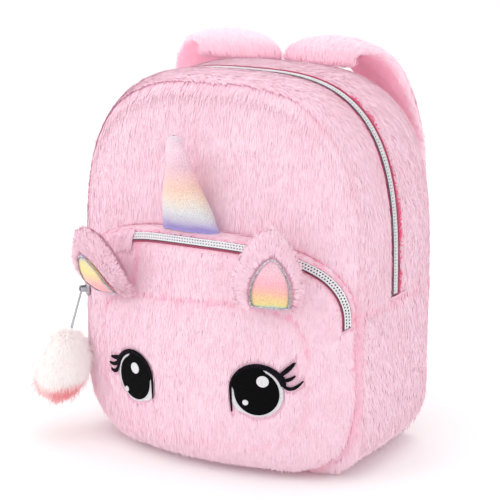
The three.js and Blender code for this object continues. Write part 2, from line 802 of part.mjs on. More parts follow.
// Eyes
for (const side of ['left', 'right']) {
  const sign = side === 'left' ? -1 : 1;
  const middle = new THREE.Vector2(sign * eye.spread + eye.shift, eye.up);
  middle.rotateAround(pocketCentre, pocket.faceTilt);
  const step = eye.sheet + eye.sheetGap;
  const lift = eye.sheetGap;
  const discAt = (width, height, layer) => faceSheet(
    middle.x, middle.y, width / 2, height / 2, lift + layer * step, [0.2, 0.6, 1], 18);
  add(`eye_white_${side}`, discAt(eye.width, eye.height, 0), white);
  add(`eye_pupil_${side}`, discAt(eye.pupilWidth, eye.pupilHeight, 1), black);
  for (const glint of glints) {
    const { radius } = glint;
    const x = middle.x + glint.across;
    const z = middle.y + glint.up;
    const sheet = faceSheet(x, z, radius, radius, lift + 2 * step, [0.3, 1], 12);
    add(`eye_glint_${glint.name}_${side}`, sheet, white);
  }
  const lidHalfWidth = eye.width / 2 + eye.lidGap + eye.lid / 2;
  const lidHalfHeight = eye.height / 2 + eye.lidGap + eye.lid / 2;
  const lidPoint = (degrees) => {
    const angle = THREE.MathUtils.degToRad(degrees);
    const x = middle.x + sign * lidHalfWidth * Math.cos(angle);
    return new THREE.Vector2(x, middle.y + lidHalfHeight * Math.sin(angle));
  };
  const lidPoints = [];
  for (let i = 0; i <= 16; i += 1) {
    const point = lidPoint(lerp(lidAngles.start, lidAngles.end, i / 16));
    const width = eye.lid * lerp(1, 0.35, Math.max(i / 16 - 0.45, 0) / 0.55);
    lidPoints.push({ x: point.x, z: point.y, width });
  }
  const strokes = [faceStroke(lidPoints, lift)];
  for (const lash of lashes) {
    const droop = lashDroop[side];
    const root = lidPoint(lash.fromAngle - droop.angle);
    const tipUp = (lash.tipUp - droop.up) * eye.height / 2;
    const tip = new THREE.Vector2(middle.x + sign * lash.tipAcross * eye.width / 2, middle.y + tipUp);
    const bend = new THREE.Vector2(lerp(root.x, tip.x, 0.6), lerp(root.y, tip.y, 0.35));
    const curve = new THREE.QuadraticBezierCurve(root, bend, tip);
    const points = [];
    for (let i = 0; i <= 4; i += 1) {
      const point = curve.getPoint(i / 4);
      points.push({ x: point.x, z: point.y, width: lerp(eye.lid * 1.1, 0.5, i / 4) });
    }
    strokes.push(faceStroke(points, lift));
  }
  add(`lashes_${side}`, union(strokes), black);
}

// Top of the back gusset at a place on it.
function gussetTopZ(x, y) {
  const zAt = (row) => {
    const ring = outline(bagForm(row.inset, row.bottomInset));
    for (let i = halfSteps; i > 0; i -= 1) {
      if (ring[i - 1].x >= Math.abs(x)) {
        const t = (Math.abs(x) - ring[i].x) / (ring[i - 1].x - ring[i].x);
        return lerp(ring[i].y, ring[i - 1].y, t);
      }
    }
    return bag.archStart;
  };
  for (let i = 0; i + 1 < backGusset.length; i += 1) {
    if (y <= backGusset[i + 1].y) {
      const t = (y - backGusset[i].y) / (backGusset[i + 1].y - backGusset[i].y);
      return lerp(zAt(backGusset[i]), zAt(backGusset[i + 1]), t);
    }
  }
  return zAt(backGusset[backGusset.length - 1]);
}

// Sections of a band along the points of its route: its width stays level and turns with the route.
function bandSections(route, steps, widthAt, thickness, count, power) {
  const curve = new THREE.CatmullRomCurve3(route.map((row) => row.point));
  const sections = [];
  for (let i = 0; i <= steps; i += 1) {
    const t = i / steps;
    const place = t * (route.length - 1);
    const row = Math.min(Math.floor(place), route.length - 2);
    const turn = lerp(route[row].turn, route[row + 1].turn, place - row);
    const centre = curve.getPoint(t);
    const along = curve.getTangent(t);
    const across = new THREE.Vector3(Math.cos(turn), -Math.sin(turn), 0);
    const normal = new THREE.Vector3().crossVectors(along, across).normalize();
    const loop = roundedLoop(widthAt(t) / 2, thickness / 2, count, power);
    sections.push(loop.map((point) => centre.clone()
      .addScaledVector(across, point.x).addScaledVector(normal, point.y)));
  }
  return sections;
}

// Straps
for (const { side, sign, splay } of strapSides) {
  const turnOf = (row) => sign * THREE.MathUtils.degToRad(row.turn);
  const padRoute = strapRoute.map((row, i) => {
    const drift = strap.drift * (1 - i / (strapRoute.length - 1));
    const x = sign * (row.across + splay * row.loose) * bag.width / 2 + drift;
    return { point: new THREE.Vector3(x, row.back * bag.depth, row.up * bag.height), turn: turnOf(row) };
  });
  const webRoute = webbingRoute.map((row) => {
    const x = sign * row.across * bag.width / 2;
    const z = row.up * bag.height;
    const panelY = Math.max(...[-1, 0, 1].map((edge) => backPanelY(x + edge * strap.webbing / 2, z)));
    const y = panelY + seatGap + strap.webbingThick / 2 + row.off * bag.depth;
    return { point: new THREE.Vector3(x, y, z), turn: turnOf(row) };
  });
  const from = padRoute[padRoute.length - 1];
  const to = webRoute[0];
  const trim = endGap / from.point.distanceTo(to.point);
  const holdRoute = [trim, 1 - trim].map((share) => ({
    point: from.point.clone().lerp(to.point, share),
    turn: lerp(from.turn, to.turn, share),
  }));
  const padWidth = (t) => lerp(strap.width, strap.lowWidth, t);
  const padded = bandSections(padRoute, 2 * strapRoute.length, padWidth, strap.thick, 10, 3.2);
  padded[0].forEach((point) => {
    point.z = gussetTopZ(point.x, point.y) + shelfGap + seatGap;
  });
  const webbing = bandSections(webRoute, 12, () => strap.webbing, strap.webbingThick, 4, 8);
  const holder = bandSections(holdRoute, 1, () => adjuster.width, adjuster.thick, 8, 6);
  add(`strap_${side}`, loft(padded), plush);
  add(`strap_webbing_${side}`, loft(webbing), tapePink);
  add(`strap_adjuster_${side}`, loft(holder), tapePink);
}

// Pocket slider, pull and pompom, on the left end of the pocket's zipper
const sliderStation = ringCount - lowerSteps;
const sliderSeat = wallPoint(sliderStation, pocketZip.share, 0);
const wallRun = outerWall[sliderStation].getTangent(pocketZip.share);
const outward = new THREE.Vector3(-Math.abs(wallRun.y), -Math.abs(wallRun.x), 0).normalize();
const bodyOut = pull.eye + slider.eyeGap;
const pivot = sliderSeat.clone().addScaledVector(outward, bodyOut + slider.body + seatGap);
const pin = new THREE.Group();
pin.position.copy(pivot);
pin.rotation.z = Math.atan2(-outward.y, -outward.x);
backpack.add(pin);

function buildSlider() {
  const body = new THREE.BoxGeometry(slider.body, slider.width, slider.length);
  body.translate(bodyOut + slider.body / 2, 0, 0);
  const lugSpan = pull.barWidth / 2 + slider.lugGap;
  const lugReach = bodyOut + slider.body / 2 + 2 * pull.pin;
  const lugs = [-1, 1].map((side) => {
    const lug = new THREE.BoxGeometry(lugReach, slider.lug, slider.lugHeight);
    lug.translate(bodyOut + slider.body / 2 - lugReach / 2, side * (lugSpan + slider.lug / 2), 0);
    return lug;
  });
  const rod = new THREE.CylinderGeometry(pull.pin, pull.pin, 2 * lugSpan + slider.lug, 12);
  return union([body, ...lugs, rod]);
}

function buildPull() {
  const half = pull.bar / 2;
  const neck = Math.asin(half / pull.eye);
  const profile = new THREE.Shape();
  profile.moveTo(-half, -pull.length);
  profile.lineTo(half, -pull.length);
  profile.absarc(0, 0, pull.eye, -Math.PI / 2 + neck, Math.PI * 1.5 - neck, false);
  profile.closePath();
  const hole = new THREE.Path();
  hole.absarc(0, 0, pull.bore, 0, 2 * Math.PI, true);
  profile.holes.push(hole);
  const settings = { depth: pull.barWidth, bevelEnabled: false, curveSegments: 10 };
  const bar = new THREE.ExtrudeGeometry(profile, settings);
  bar.rotateX(Math.PI / 2);
  bar.translate(0, pull.barWidth / 2, 0);
  return bar;
}

function buildPompom() {
  const rings = [];
  for (let i = 0; i < 10; i += 1) {
    const angle = Math.PI * (i + 0.35) / 9.7;
    const z = Math.cos(angle) * pompom.height / 2;
    const radius = pompom.width / 2 * Math.sin(angle);
    const loop = roundedLoop(radius, radius, 14, 2);
    rings.push(loop.map((point) => new THREE.Vector3(point.x, point.y, z)));
  }
  const top = rings[0][0].z;
  const geometry = loft(rings);
  geometry.translate(0, 0, -pull.length - pompom.endGap - top);
  return geometry;
}

// Tilt at which the pompom just rests on the pocket's side.
function restTilt() {
  const reach = pull.length + pompom.endGap + pompom.height / 2;
  const step = 0.002;
  const centre = new THREE.Vector3();
  const touches = (tilt) => {
    const axis = new THREE.Vector3(0, 0, -Math.cos(tilt)).addScaledVector(outward, Math.sin(tilt));
    centre.copy(pivot).addScaledVector(axis, reach);
    return lowerStations.some((k) => [0, 0.1, 0.2, 0.3, 0.4, 0.5, 0.6, 0.7, 0.8, 0.9, 1].some((share) => {
      const offset = wallPoint(k, share, 0).sub(centre);
      const along = offset.dot(axis);
      const beside = Math.sqrt(Math.max(offset.lengthSq() - along * along, 0));
      return Math.hypot(along / (pompom.height / 2 + seatGap), beside / (pompom.width / 2 + seatGap)) < 1;
    }));
  };
  let tilt = 0;
  while (tilt < Math.PI / 2 && touches(tilt)) {
    tilt += step;
  }
  return tilt;
}

add('pocket_slider', buildSlider(), silver, pin);
const swing = new THREE.Group();
swing.rotation.y = restTilt();
pin.add(swing);
add('pull_bar', buildPull(), silver, swing);
add('pompom', buildPompom(), cream, swing);

// Main slider, at the hidden left end of the main zipper
const mainSliderX = -(bag.width / 2 - teethInset + seatGap + mainSlider.thick / 2);
const mainSliderBody = new THREE.BoxGeometry(mainSlider.thick, mainSlider.width, mainSlider.length);
const mainSliderMesh = add('main_slider', mainSliderBody, silver);
mainSliderMesh.position.set(mainSliderX, mainZip.y, bag.archStart + mainSlider.length / 2);

export default backpack;
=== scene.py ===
"""Looks of the plush unicorn backpack: fur, satin, stitched eyes, zippers and straps over the frame.

Sizes are in millimetres until a mesh is made. +Z is up and the face looks along -Y.
"""
import json
import math
from types import SimpleNamespace as Sizes

import bpy
import numpy as np
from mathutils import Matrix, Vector


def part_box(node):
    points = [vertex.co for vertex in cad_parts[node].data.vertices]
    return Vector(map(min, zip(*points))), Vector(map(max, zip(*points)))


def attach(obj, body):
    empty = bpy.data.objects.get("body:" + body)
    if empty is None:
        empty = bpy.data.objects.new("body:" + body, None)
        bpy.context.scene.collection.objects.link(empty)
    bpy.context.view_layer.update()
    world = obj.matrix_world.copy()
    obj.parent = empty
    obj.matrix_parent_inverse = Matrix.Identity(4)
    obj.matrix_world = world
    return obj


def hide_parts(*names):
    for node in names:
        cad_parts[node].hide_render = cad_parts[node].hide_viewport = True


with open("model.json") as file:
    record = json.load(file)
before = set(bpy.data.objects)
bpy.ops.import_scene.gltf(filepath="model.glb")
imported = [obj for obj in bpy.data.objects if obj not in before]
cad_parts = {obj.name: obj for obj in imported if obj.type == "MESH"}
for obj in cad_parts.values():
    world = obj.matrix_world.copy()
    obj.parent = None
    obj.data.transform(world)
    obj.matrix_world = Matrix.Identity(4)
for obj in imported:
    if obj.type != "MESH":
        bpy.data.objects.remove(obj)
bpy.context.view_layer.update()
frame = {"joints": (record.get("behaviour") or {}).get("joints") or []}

MM = 0.001
SEED = 11

# Sizes of the frame, in millimetres
BAG = Sizes(width=240, height=278, depth=114, bottom_corner=40, arch_start=126, arch_power=3.1,
            seam_inset=5, seam_setback=5, bottom_edge=2, front_dome=7, back_dome=1)
MAIN_ZIP = Sizes(y=-9, slit=8, inset=3, recess=2.2)
POCKET = Sizes(width=224, bottom=6.5, top=170, arch_start=116, arch_power=2.7, corner=50, depth=40, wall=5,
               puff=4, sag=9, side_roll=21, end_roll=4, face_width=170, face_bottom=27, face_top=129,
               face_arch_start=92, face_arch_power=3.4, face_corner=34, face_tilt=0.06, rim_gap=0.85)
POCKET_ZIP = Sizes(share=0.44, slit=7.2, recess=1.9)
# the part of the front panel without fur: bottom is its lowest height, power its arch's roundness, and the
# rest are distances inside the pocket's rim
COVERED = Sizes(side=9, top=9, bottom=16, arch_side=7, arch_top=8, power=2.7)
ZIP_STEP = 0.05  # share of the pocket's wall, to either side of its zipper, that gives its direction
ZIP_COVER = (-97, -57)  # where plush closes over the pocket's zipper, across
BROW_FOLD = [(-52, 134), (-50.5, 141), (-51, 148), (-53, 155)]  # across and up of the line where a fold's shade is painted
LIP = Sizes(start=1.2, roll=0.3, steps=5)
COIL = Sizes(path_step=2.5, gap_half=2.2, rail_at=2.4, edge_at=2.5, turn_reach=2.0,
             turn=((0.06, 0.7), (0.25, 1), (0.8, 1), (1, 0.7)))  # places across a turn, and its size there
# rise is the coil's height over the slit's floor, fill a turn's share of the pitch, middle the half width of
# the ridge, rail the half width and rise of each rail, and bare the place across, half width and rise of
# the strip of tape that shows
MAIN_COIL = Sizes(rise=3.4, pitch=2.2, fill=0.6, stagger=0, wide=1, middle=0.1, rail=(0.45, 0.95),
                  bare=(4, 0.9, 1.9))
POCKET_COIL = Sizes(rise=2.1, pitch=2.2, fill=0.6, stagger=1, wide=0.85, middle=0.5, rail=(0.5, 1.3),
                    bare=(-3.8, 0.3, 1.3))
PANEL_DENTS = [  # across, up, reach, depth
    (-0.45, 0.76, 0.2, 1.5), (0.5, 0.74, 0.18, 2.0), (0.12, 0.88, 0.14, 1.2)]
POCKET_DENTS = [(-0.4, 0.93, 0.14, 2.5), (0.02, 0.3, 0.16, 1.5), (0.8, 0.18, 0.16, 2.0)]

HORN = Sizes(across=-11, height=68, width=45, depth=21, base_gap=1.2, lean_forward=17, lean_sideways=-2.5)
HORN_UP = [0, 0.07, 0.2, 0.4, 0.6, 0.8, 0.94, 0.985, 1]
HORN_WIDTH = [1.06, 1.0, 0.88, 0.69, 0.52, 0.36, 0.25, 0.18, 0.05]
HORN_DEPTH = [0.42, 0.66, 0.96, 0.9, 0.74, 0.54, 0.38, 0.24, 0.08]

EAR = Sizes(width=44, height=53, thick=17, cup=5, patch_width=29, patch_height=37)
EAR_UP = [0, 0.12, 0.3, 0.5, 0.7, 0.86, 0.96, 1]
EAR_WIDTH = [0.78, 0.92, 1, 0.95, 0.77, 0.52, 0.26, 0.06]
EAR_THICK = [0.45, 0.75, 1, 1, 0.88, 0.7, 0.45, 0.12]
PATCH_UP = [0.02, 0.3, 0.55, 0.78, 0.93, 1]
PATCH_WIDTH = [0.92, 1, 0.9, 0.62, 0.3, 0.08]
EAR_ACROSS = [-1, -0.93, -0.72, -0.36, 0, 0.36, 0.72, 0.93, 1]
EAR_PLUSH = {"left": (1.16, 4.5), "right": (1.0, -2.5)}  # the plush's widening, and shift past the patch
BORDER_PITCH = 1.5
EAR_PLACES = {  # share of half the face's width, height above the seam, turn, lean, nod
    "left": (-0.8, 3, -0.32, -0.1, 0.48), "right": (0.78, 1.5, 0.42, 0.06, 0.06)}

EYE = Sizes(spread=50, shift=2.6, left_back=1.2, up=63, width=35, height=36, pupil_width=30,
            pupil_height=32)
EYE_LAYERS = {  # lift off the face and thickness
    "white": (0.2, 1.1), "pupil": (1.3, 0.9), "glint": (2.2, 0.5), "line": (1.0, 1.5)}
GLINTS = {  # across, up and radius in each eye
    "large": {1: (4.8, 9, 4.1), -1: (1.6, 8, 4.1)}, "small": {1: (-7.2, -7.3, 2), -1: (-8.5, -10.4, 2)}}
LASHES = {  # angle of the root, bend across and up, tip across and up as shares of half the eye, width
    1: [(41, 1.2, 1.0, 1.44, 1.32, 3.4), (30, 1.24, 0.56, 1.46, 0.8, 2.6), (20, 1.3, 0.03, 1.74, 0.6, 2.6)],
    -1: [(36, 1.25, 0.5, 1.54, 0.52, 3.4), (25, 1.32, 0.13, 1.68, 0.24, 3.0),
         (14, 1.27, -0.22, 1.58, 0.0, 3.0)]}
LID = {1: (19, 238), -1: (12, 220)}  # angles of the lid line's outer and inner ends
LID_GAP = -0.3
LID_WIDTH = ([0, 0.06, 0.16, 0.35, 0.6, 0.8, 1], [3.4, 4.8, 4.0, 3.2, 2.4, 1.4, 0.9])
STITCH_MARGIN = 2.0  # bare of fur on either side of a stitched line

STRAP = Sizes(width=65, low_width=49, thick=10, webbing=25, webbing_thick=2, drift=-7)
STRAP_ROUTE = [  # across, back, up, turn, loose
    (0.275, 0.39, 0.99, 10, 0), (0.285, 0.385, 1.013, 10, 0.1), (0.317, 0.42, 1.03, 13, 0.35),
    (0.39, 0.51, 1.03, 17, 0.7), (0.485, 0.6, 1.0, 21, 0.9), (0.565, 0.655, 0.94, 24, 1),
    (0.61, 0.695, 0.865, 24, 1), (0.622, 0.74, 0.77, 21, 0.8), (0.61, 0.775, 0.65, 16, 0.5),
    (0.59, 0.775, 0.54, 10, 0.2), (0.585, 0.745, 0.43, 5, 0)]
ADJUSTER = Sizes(width=30, swell=2, thick=4, thread=0.35, thread_width=26, thread_thick=4.6)
SPLAY = {"left": 0.12, "right": 0.0}
SIDES = (("left", -1), ("right", 1))
WEBBING_ROUTE = [  # across, off the back panel, up, turn
    (0.585, 0.208, 0.375, 5), (0.588, 0.19, 0.33, 4), (0.65, 0.125, 0.25, 0),
    (0.72, 0.03, 0.165, 0), (0.735, 0, 0.125, 0), (0.74, 0, 0.09, 0)]

PULL = Sizes(length=31, tilt=0.294)
SLIDER = Sizes(body=((4.3, 0, 0), (2.6, 7.6, 11)), cheek=((1.6, 3.0, 0), (6.4, 1.3, 3.6)),  # places and sizes
               pin_half=3.4, pin=0.85)
BAR = Sizes(ring=2, ring_wire=0.62, half_thick=0.75, half_top=0.9, half_low=2.3)
ROOT_SUNK = 0.2  # how far below the surface a blade of pile starts
POMPOM = Sizes(width=43, height=56, end_gap=0.35, core=0.86)


# Small helpers
def xyz(x, y, z):
    """Points from their coordinates, any of which may be a single value."""
    return np.stack(np.broadcast_arrays(x, y, z), -1)


def show(name, data):
    made = bpy.data.objects.new(name, data)
    bpy.context.scene.collection.objects.link(made)
    return made


def lerp(a, b, t):
    return a + (b - a) * t


def unit(v):
    return v / np.maximum(np.linalg.norm(v, axis=-1, keepdims=True), 1e-9)


def ease(low, high, value):
    t = np.clip((value - low) / (high - low), 0, 1)
    return t * t * (3 - 2 * t)


def smooth_curve(xs, ys, x):
    """Smooth curve through table rows that never overshoots them."""
    xs, ys = np.asarray(xs, float), np.asarray(ys, float)
    step, slope = np.diff(xs), np.diff(ys) / np.diff(xs)
    grade = np.zeros_like(ys)
    grade[0], grade[-1] = slope[0], slope[-1]
    for i in range(1, len(xs) - 1):
        if slope[i - 1] * slope[i] > 0:
            grade[i] = 2 * slope[i - 1] * slope[i] / (slope[i - 1] + slope[i])
    k = np.clip(np.searchsorted(xs, x, side="right") - 1, 0, len(xs) - 2)
    t = (x - xs[k]) / step[k]
    return ((2 * t**3 - 3 * t**2 + 1) * ys[k] + (t**3 - 2 * t**2 + t) * step[k] * grade[k]
            + (3 * t**2 - 2 * t**3) * ys[k + 1] + (t**3 - t**2) * step[k] * grade[k + 1])


def ripple(points, scale, seed, waves=7):
    """Smooth noise from -1 to 1 that varies over about scale millimetres."""
    rng = np.random.default_rng(seed)
    total = np.zeros(points.shape[:-1])
    for _ in range(waves):
        wave = unit(rng.normal(size=3)) * 2 * np.pi / (scale * rng.uniform(0.7, 1.6))
        total += np.sin(points @ wave + rng.uniform(0, 2 * np.pi))
    return total / math.sqrt(waves)


# Outlines and soft surfaces of the frame
BOTTOM, CORNER, SIDE, ARCH = 14, 12, 12, 48
LOWER = BOTTOM + CORNER + SIDE
HALF = LOWER + ARCH
RING = 2 * HALF
ARCH_STATIONS = np.arange(LOWER, RING - LOWER + 1)
LOWER_STATIONS = np.arange(RING - LOWER, RING + LOWER + 1) % RING


def outline(half, bottom, top, arch_start, corner, power):
    """Arched outline in the XZ plane: up the right side, over the top and down the left side."""
    flat = np.linspace(0, 1, BOTTOM + 1)
    turn = np.linspace(0, np.pi / 2, CORNER + 1)[1:]
    rise = np.linspace(0, 1, SIDE + 1)[1:]
    arch = np.linspace(0, np.pi / 2, ARCH + 1)[1:]
    right = np.concatenate([
        np.stack([(half - corner) * flat, np.full_like(flat, bottom)], 1),
        np.stack([half - corner + corner * np.sin(turn), bottom + corner - corner * np.cos(turn)], 1),
        np.stack([np.full_like(rise, half), lerp(bottom + corner, arch_start, rise)], 1),
        np.stack([half * np.maximum(np.cos(arch), 0) ** (2 / power),
                  arch_start + (top - arch_start) * np.sin(arch) ** (2 / power)], 1)])
    left = right[1:-1][::-1] * [-1, 1]
    return np.concatenate([right, left])


def bag_outline(inset, bottom_inset):
    return outline(BAG.width / 2 - inset, bottom_inset, BAG.height - inset, BAG.arch_start,
                   BAG.bottom_corner - inset * 0.4, BAG.arch_power)


def dents(table, half_width, height, x, z):
    depth = 0
    for across, up, reach, deep in table:
        dx = (x / half_width - across) / reach
        dz = (z - height * up) / (reach * half_width)
        depth = depth + deep * np.exp(-dx * dx - dz * dz)
    return depth


SEAM_RING = bag_outline(BAG.seam_inset, BAG.bottom_edge)
BAG_CENTRE = np.array([0, BAG.height / 2])
FRONT_SEAM_Y = -BAG.depth / 2 + BAG.seam_setback
BACK_SEAM_Y = BAG.depth / 2 - BAG.seam_setback


def ring_share(x, z):
    """Share of the way from the bag's centre out to its seam."""
    angle = np.arctan2(z - BAG_CENTRE[1], x)
    ring_angle = np.arctan2(SEAM_RING[:, 1] - BAG_CENTRE[1], SEAM_RING[:, 0])
    radius = np.hypot(SEAM_RING[:, 0], SEAM_RING[:, 1] - BAG_CENTRE[1])
    order = np.argsort(ring_angle)
    reach = np.interp(angle, ring_angle[order], radius[order], period=2 * np.pi)
    return np.hypot(x, z - BAG_CENTRE[1]) / reach


def front_out(share):
    return np.sqrt(np.maximum(1 - np.clip(share, 0, 1) ** 3.9, 0))


def back_out(share):
    return smooth_curve([0, 0.5, 0.88, 0.96, 1], [1, 1, 1, 0.6, 0], np.clip(share, 0, 1))


def front_y(x, z):
    share = ring_share(x, z)
    fade = np.clip((1 - share) * 4, 0, 1)
    swell = front_out(share) * (BAG.seam_setback + BAG.front_dome)
    return FRONT_SEAM_Y - swell + fade * dents(PANEL_DENTS, BAG.width / 2, BAG.height, x, z)


def back_y(x, z):
    return BACK_SEAM_Y + back_out(ring_share(x, z)) * (BAG.seam_setback + BAG.back_dome)


FACE_CENTRE = np.array([0, (POCKET.face_bottom + POCKET.face_top) / 2])
FACE_HALF = (POCKET.face_top - POCKET.face_bottom) / 2


def face_y(x, z):
    """Outer face of the pocket at a place in the front view."""
    across, up = x / (POCKET.face_width / 2), (z - FACE_CENTRE[1]) / FACE_HALF
    roll = POCKET.side_roll * across**2 + POCKET.end_roll * up**2
    front = -BAG.depth / 2 - POCKET.depth
    return front + roll + dents(POCKET_DENTS, POCKET.width / 2, POCKET.top, x, z)


def pocket_outline(inset):
    return outline(POCKET.width / 2 - inset, POCKET.bottom + inset, POCKET.top - inset,
                   POCKET.arch_start, POCKET.corner - inset * 0.4, POCKET.arch_power)


def tilted(xz):
    """Turns points of the front view with the face, about its centre."""
    c, s = math.cos(POCKET.face_tilt), math.sin(POCKET.face_tilt)
    return (np.asarray(xz, float) - FACE_CENTRE) @ np.array([[c, s], [-s, c]]) + FACE_CENTRE


def face_outline(inset):
    ring = outline(POCKET.face_width / 2 - inset, POCKET.face_bottom + inset,
                   POCKET.face_top - inset, POCKET.face_arch_start,
                   POCKET.face_corner - inset * 0.4, POCKET.face_arch_power)
    return tilted(ring)


FACE_RING = face_outline(0)


def wall_curves(inset):
    """Start, control and end points of the pocket's wall at every station, from the bag to the face."""
    rim, seam = pocket_outline(inset), face_outline(inset)
    outward = unit(rim - FACE_CENTRE)
    swell = lerp(POCKET.puff, POCKET.sag, np.maximum(-outward[:, 1], 0))
    puffed = rim + outward * swell[:, None]
    start_y = front_y(rim[:, 0], rim[:, 1]) - POCKET.rim_gap
    middle_y = np.minimum(face_y(rim[:, 0], rim[:, 1]) + inset, start_y)
    end_y = face_y(FACE_RING[:, 0], FACE_RING[:, 1]) + inset
    return tuple(xyz(xz[:, 0], y, xz[:, 1]) for xz, y in ((rim, start_y), (puffed, middle_y), (seam, end_y)))


OUTER_WALL, INNER_WALL = wall_curves(0), wall_curves(POCKET.wall)


def wall_points(stations, shares, sunk=0.0):
    """Points in the pocket's wall: stations and shares broadcast to (n, m)."""
    t = shares[..., None]

    def bezier(curves):
        start, middle, end = (c[stations][:, None, :] for c in curves)
        return (1 - t) ** 2 * start + 2 * t * (1 - t) * middle + t**2 * end
    return lerp(bezier(OUTER_WALL), bezier(INNER_WALL), sunk / POCKET.wall)


def beside_zip(stations):
    """Points of the wall just behind the pocket's zipper and just in front of it."""
    near = np.tile([POCKET_ZIP.share - ZIP_STEP, POCKET_ZIP.share + ZIP_STEP], (len(stations), 1))
    return wall_points(stations, near)


def zip_share(stations, width):
    """Share taken along the pocket's wall by a width in mm, near its zipper."""
    ends = beside_zip(stations)
    return 2 * ZIP_STEP * width / np.linalg.norm(ends[:, 1] - ends[:, 0], axis=1)


# Meshes
def grid_quads(rows, columns):
    """Corners of the quads between neighbouring points of a grid."""
    ids = np.arange(rows * columns).reshape(rows, columns)
    return np.stack([ids[:-1, :-1], ids[1:, :-1], ids[1:, 1:], ids[:-1, 1:]], -1).reshape(-1, 4)


class Surface:
    """A smooth grid of points with outward normals. wrap closes it along its first axis."""

    def __init__(self, points, inside, wrap=False):
        self.points = np.concatenate([points, points[:1]]) if wrap else points
        along = np.gradient(self.points, axis=0)
        if wrap:
            along[0] = along[-1] = (self.points[1] - self.points[-2]) / 2
        self.along, self.across = along, np.gradient(self.points, axis=1)
        normal = unit(np.cross(self.along, self.across))
        if np.sum(normal * (self.points - np.asarray(inside, float))) < 0:
            normal = -normal
        self.normal = normal

    def grid(self, depth=0.0):
        """Vertices, quads and normals of the surface, sunk by depth."""
        sunk = self.points - self.normal * depth
        return sunk.reshape(-1, 3), grid_quads(*self.points.shape[:2]), self.normal.reshape(-1, 3)

    def scatter(self, count, rng, density=None):
        """Random places spread by area: position, normal, along, across, and u and v from 0 to 1."""
        p = self.points
        area = np.linalg.norm(np.cross(p[1:, 1:] - p[:-1, :-1], p[1:, :-1] - p[:-1, 1:]), axis=-1)
        if density is not None:
            area = area * density((p[1:, 1:] + p[:-1, :-1]) / 2)
        share = area.ravel() / area.sum()
        i, j = np.divmod(rng.choice(area.size, size=count, p=share), area.shape[1])
        a, b = rng.random(count), rng.random(count)

        def at(field):
            a_, b_ = a[:, None], b[:, None]
            return ((1 - a_) * (1 - b_) * field[i, j] + a_ * (1 - b_) * field[i + 1, j]
                    + (1 - a_) * b_ * field[i, j + 1] + a_ * b_ * field[i + 1, j + 1])
        rows, columns = p.shape[:2]
        across = at(self.across) * (columns - 1)
        u, v = (i + a) / (rows - 1), (j + b) / (columns - 1)
        return at(p), unit(at(self.normal)), unit(at(self.along)), across, u, v


class Piece:
    """Collects faces of one object: vertices in mm, normals, a material for each face and two values a
    vertex: strand, from root 0 to tip 1, and tone, from deep 0 to pale 1, which holds the pile's random tone
    and its painted shade. A face turns to its normals."""

    def __init__(self, name):
        self.name = name
        self.vertices, self.normals, self.strand, self.tone = [], [], [], []
        self.faces, self.slots, self.materials = [], [], []
        self.count = 0

    def add(self, vertices, faces, normals, material, strand=0.0, tone=0.5):
        if material not in self.materials:
            self.materials.append(material)
        n = len(vertices)
        a, b, c = (vertices[faces[:, i]] for i in (0, 1, 2))
        turned = np.sum(np.cross(b - a, c - b) * normals[faces].sum(1), 1) < 0
        faces = np.where(turned[:, None], faces[:, ::-1], faces)
        self.vertices.append(vertices)
        self.normals.append(normals)
        self.strand.append(np.broadcast_to(strand, n))
        self.tone.append(np.broadcast_to(tone, n))
        self.faces.append(faces + self.count)
        self.slots.append(np.full(len(faces), self.materials.index(material)))
        self.count += n

    def add_surface(self, surface, material, depth=0.0, strand=0.0, tone=0.5):
        vertices, quads, normals = surface.grid(depth)
        self.add(vertices, quads, normals, material, strand, tone)

    def build(self, body, slot, node):
        mesh = bpy.data.meshes.new(self.name)
        vertices = np.concatenate(self.vertices) * MM
        totals = np.concatenate([np.full(len(f), f.shape[1]) for f in self.faces])
        corners = np.concatenate([f.ravel() for f in self.faces])
        mesh.vertices.add(len(vertices))
        mesh.vertices.foreach_set("co", vertices.astype(np.float32).ravel())
        mesh.loops.add(len(corners))
        mesh.loops.foreach_set("vertex_index", corners.astype(np.int32))
        mesh.polygons.add(len(totals))
        mesh.polygons.foreach_set("loop_start", (np.cumsum(totals) - totals).astype(np.int32))
        for material in self.materials:
            mesh.materials.append(material)
        mesh.polygons.foreach_set("material_index", np.concatenate(self.slots).astype(np.int32))
        for key, values in (("strand", self.strand), ("tone", self.tone)):
            layer = mesh.attributes.new(key, "FLOAT", "POINT")
            layer.data.foreach_set("value", np.concatenate(values).astype(np.float32))
        mesh.update()
        mesh.validate()
        mesh.normals_split_custom_set_from_vertices(unit(np.concatenate(self.normals)).tolist())
        piece = show(self.name, mesh)
        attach(piece, body)
        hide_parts(node)
        return piece


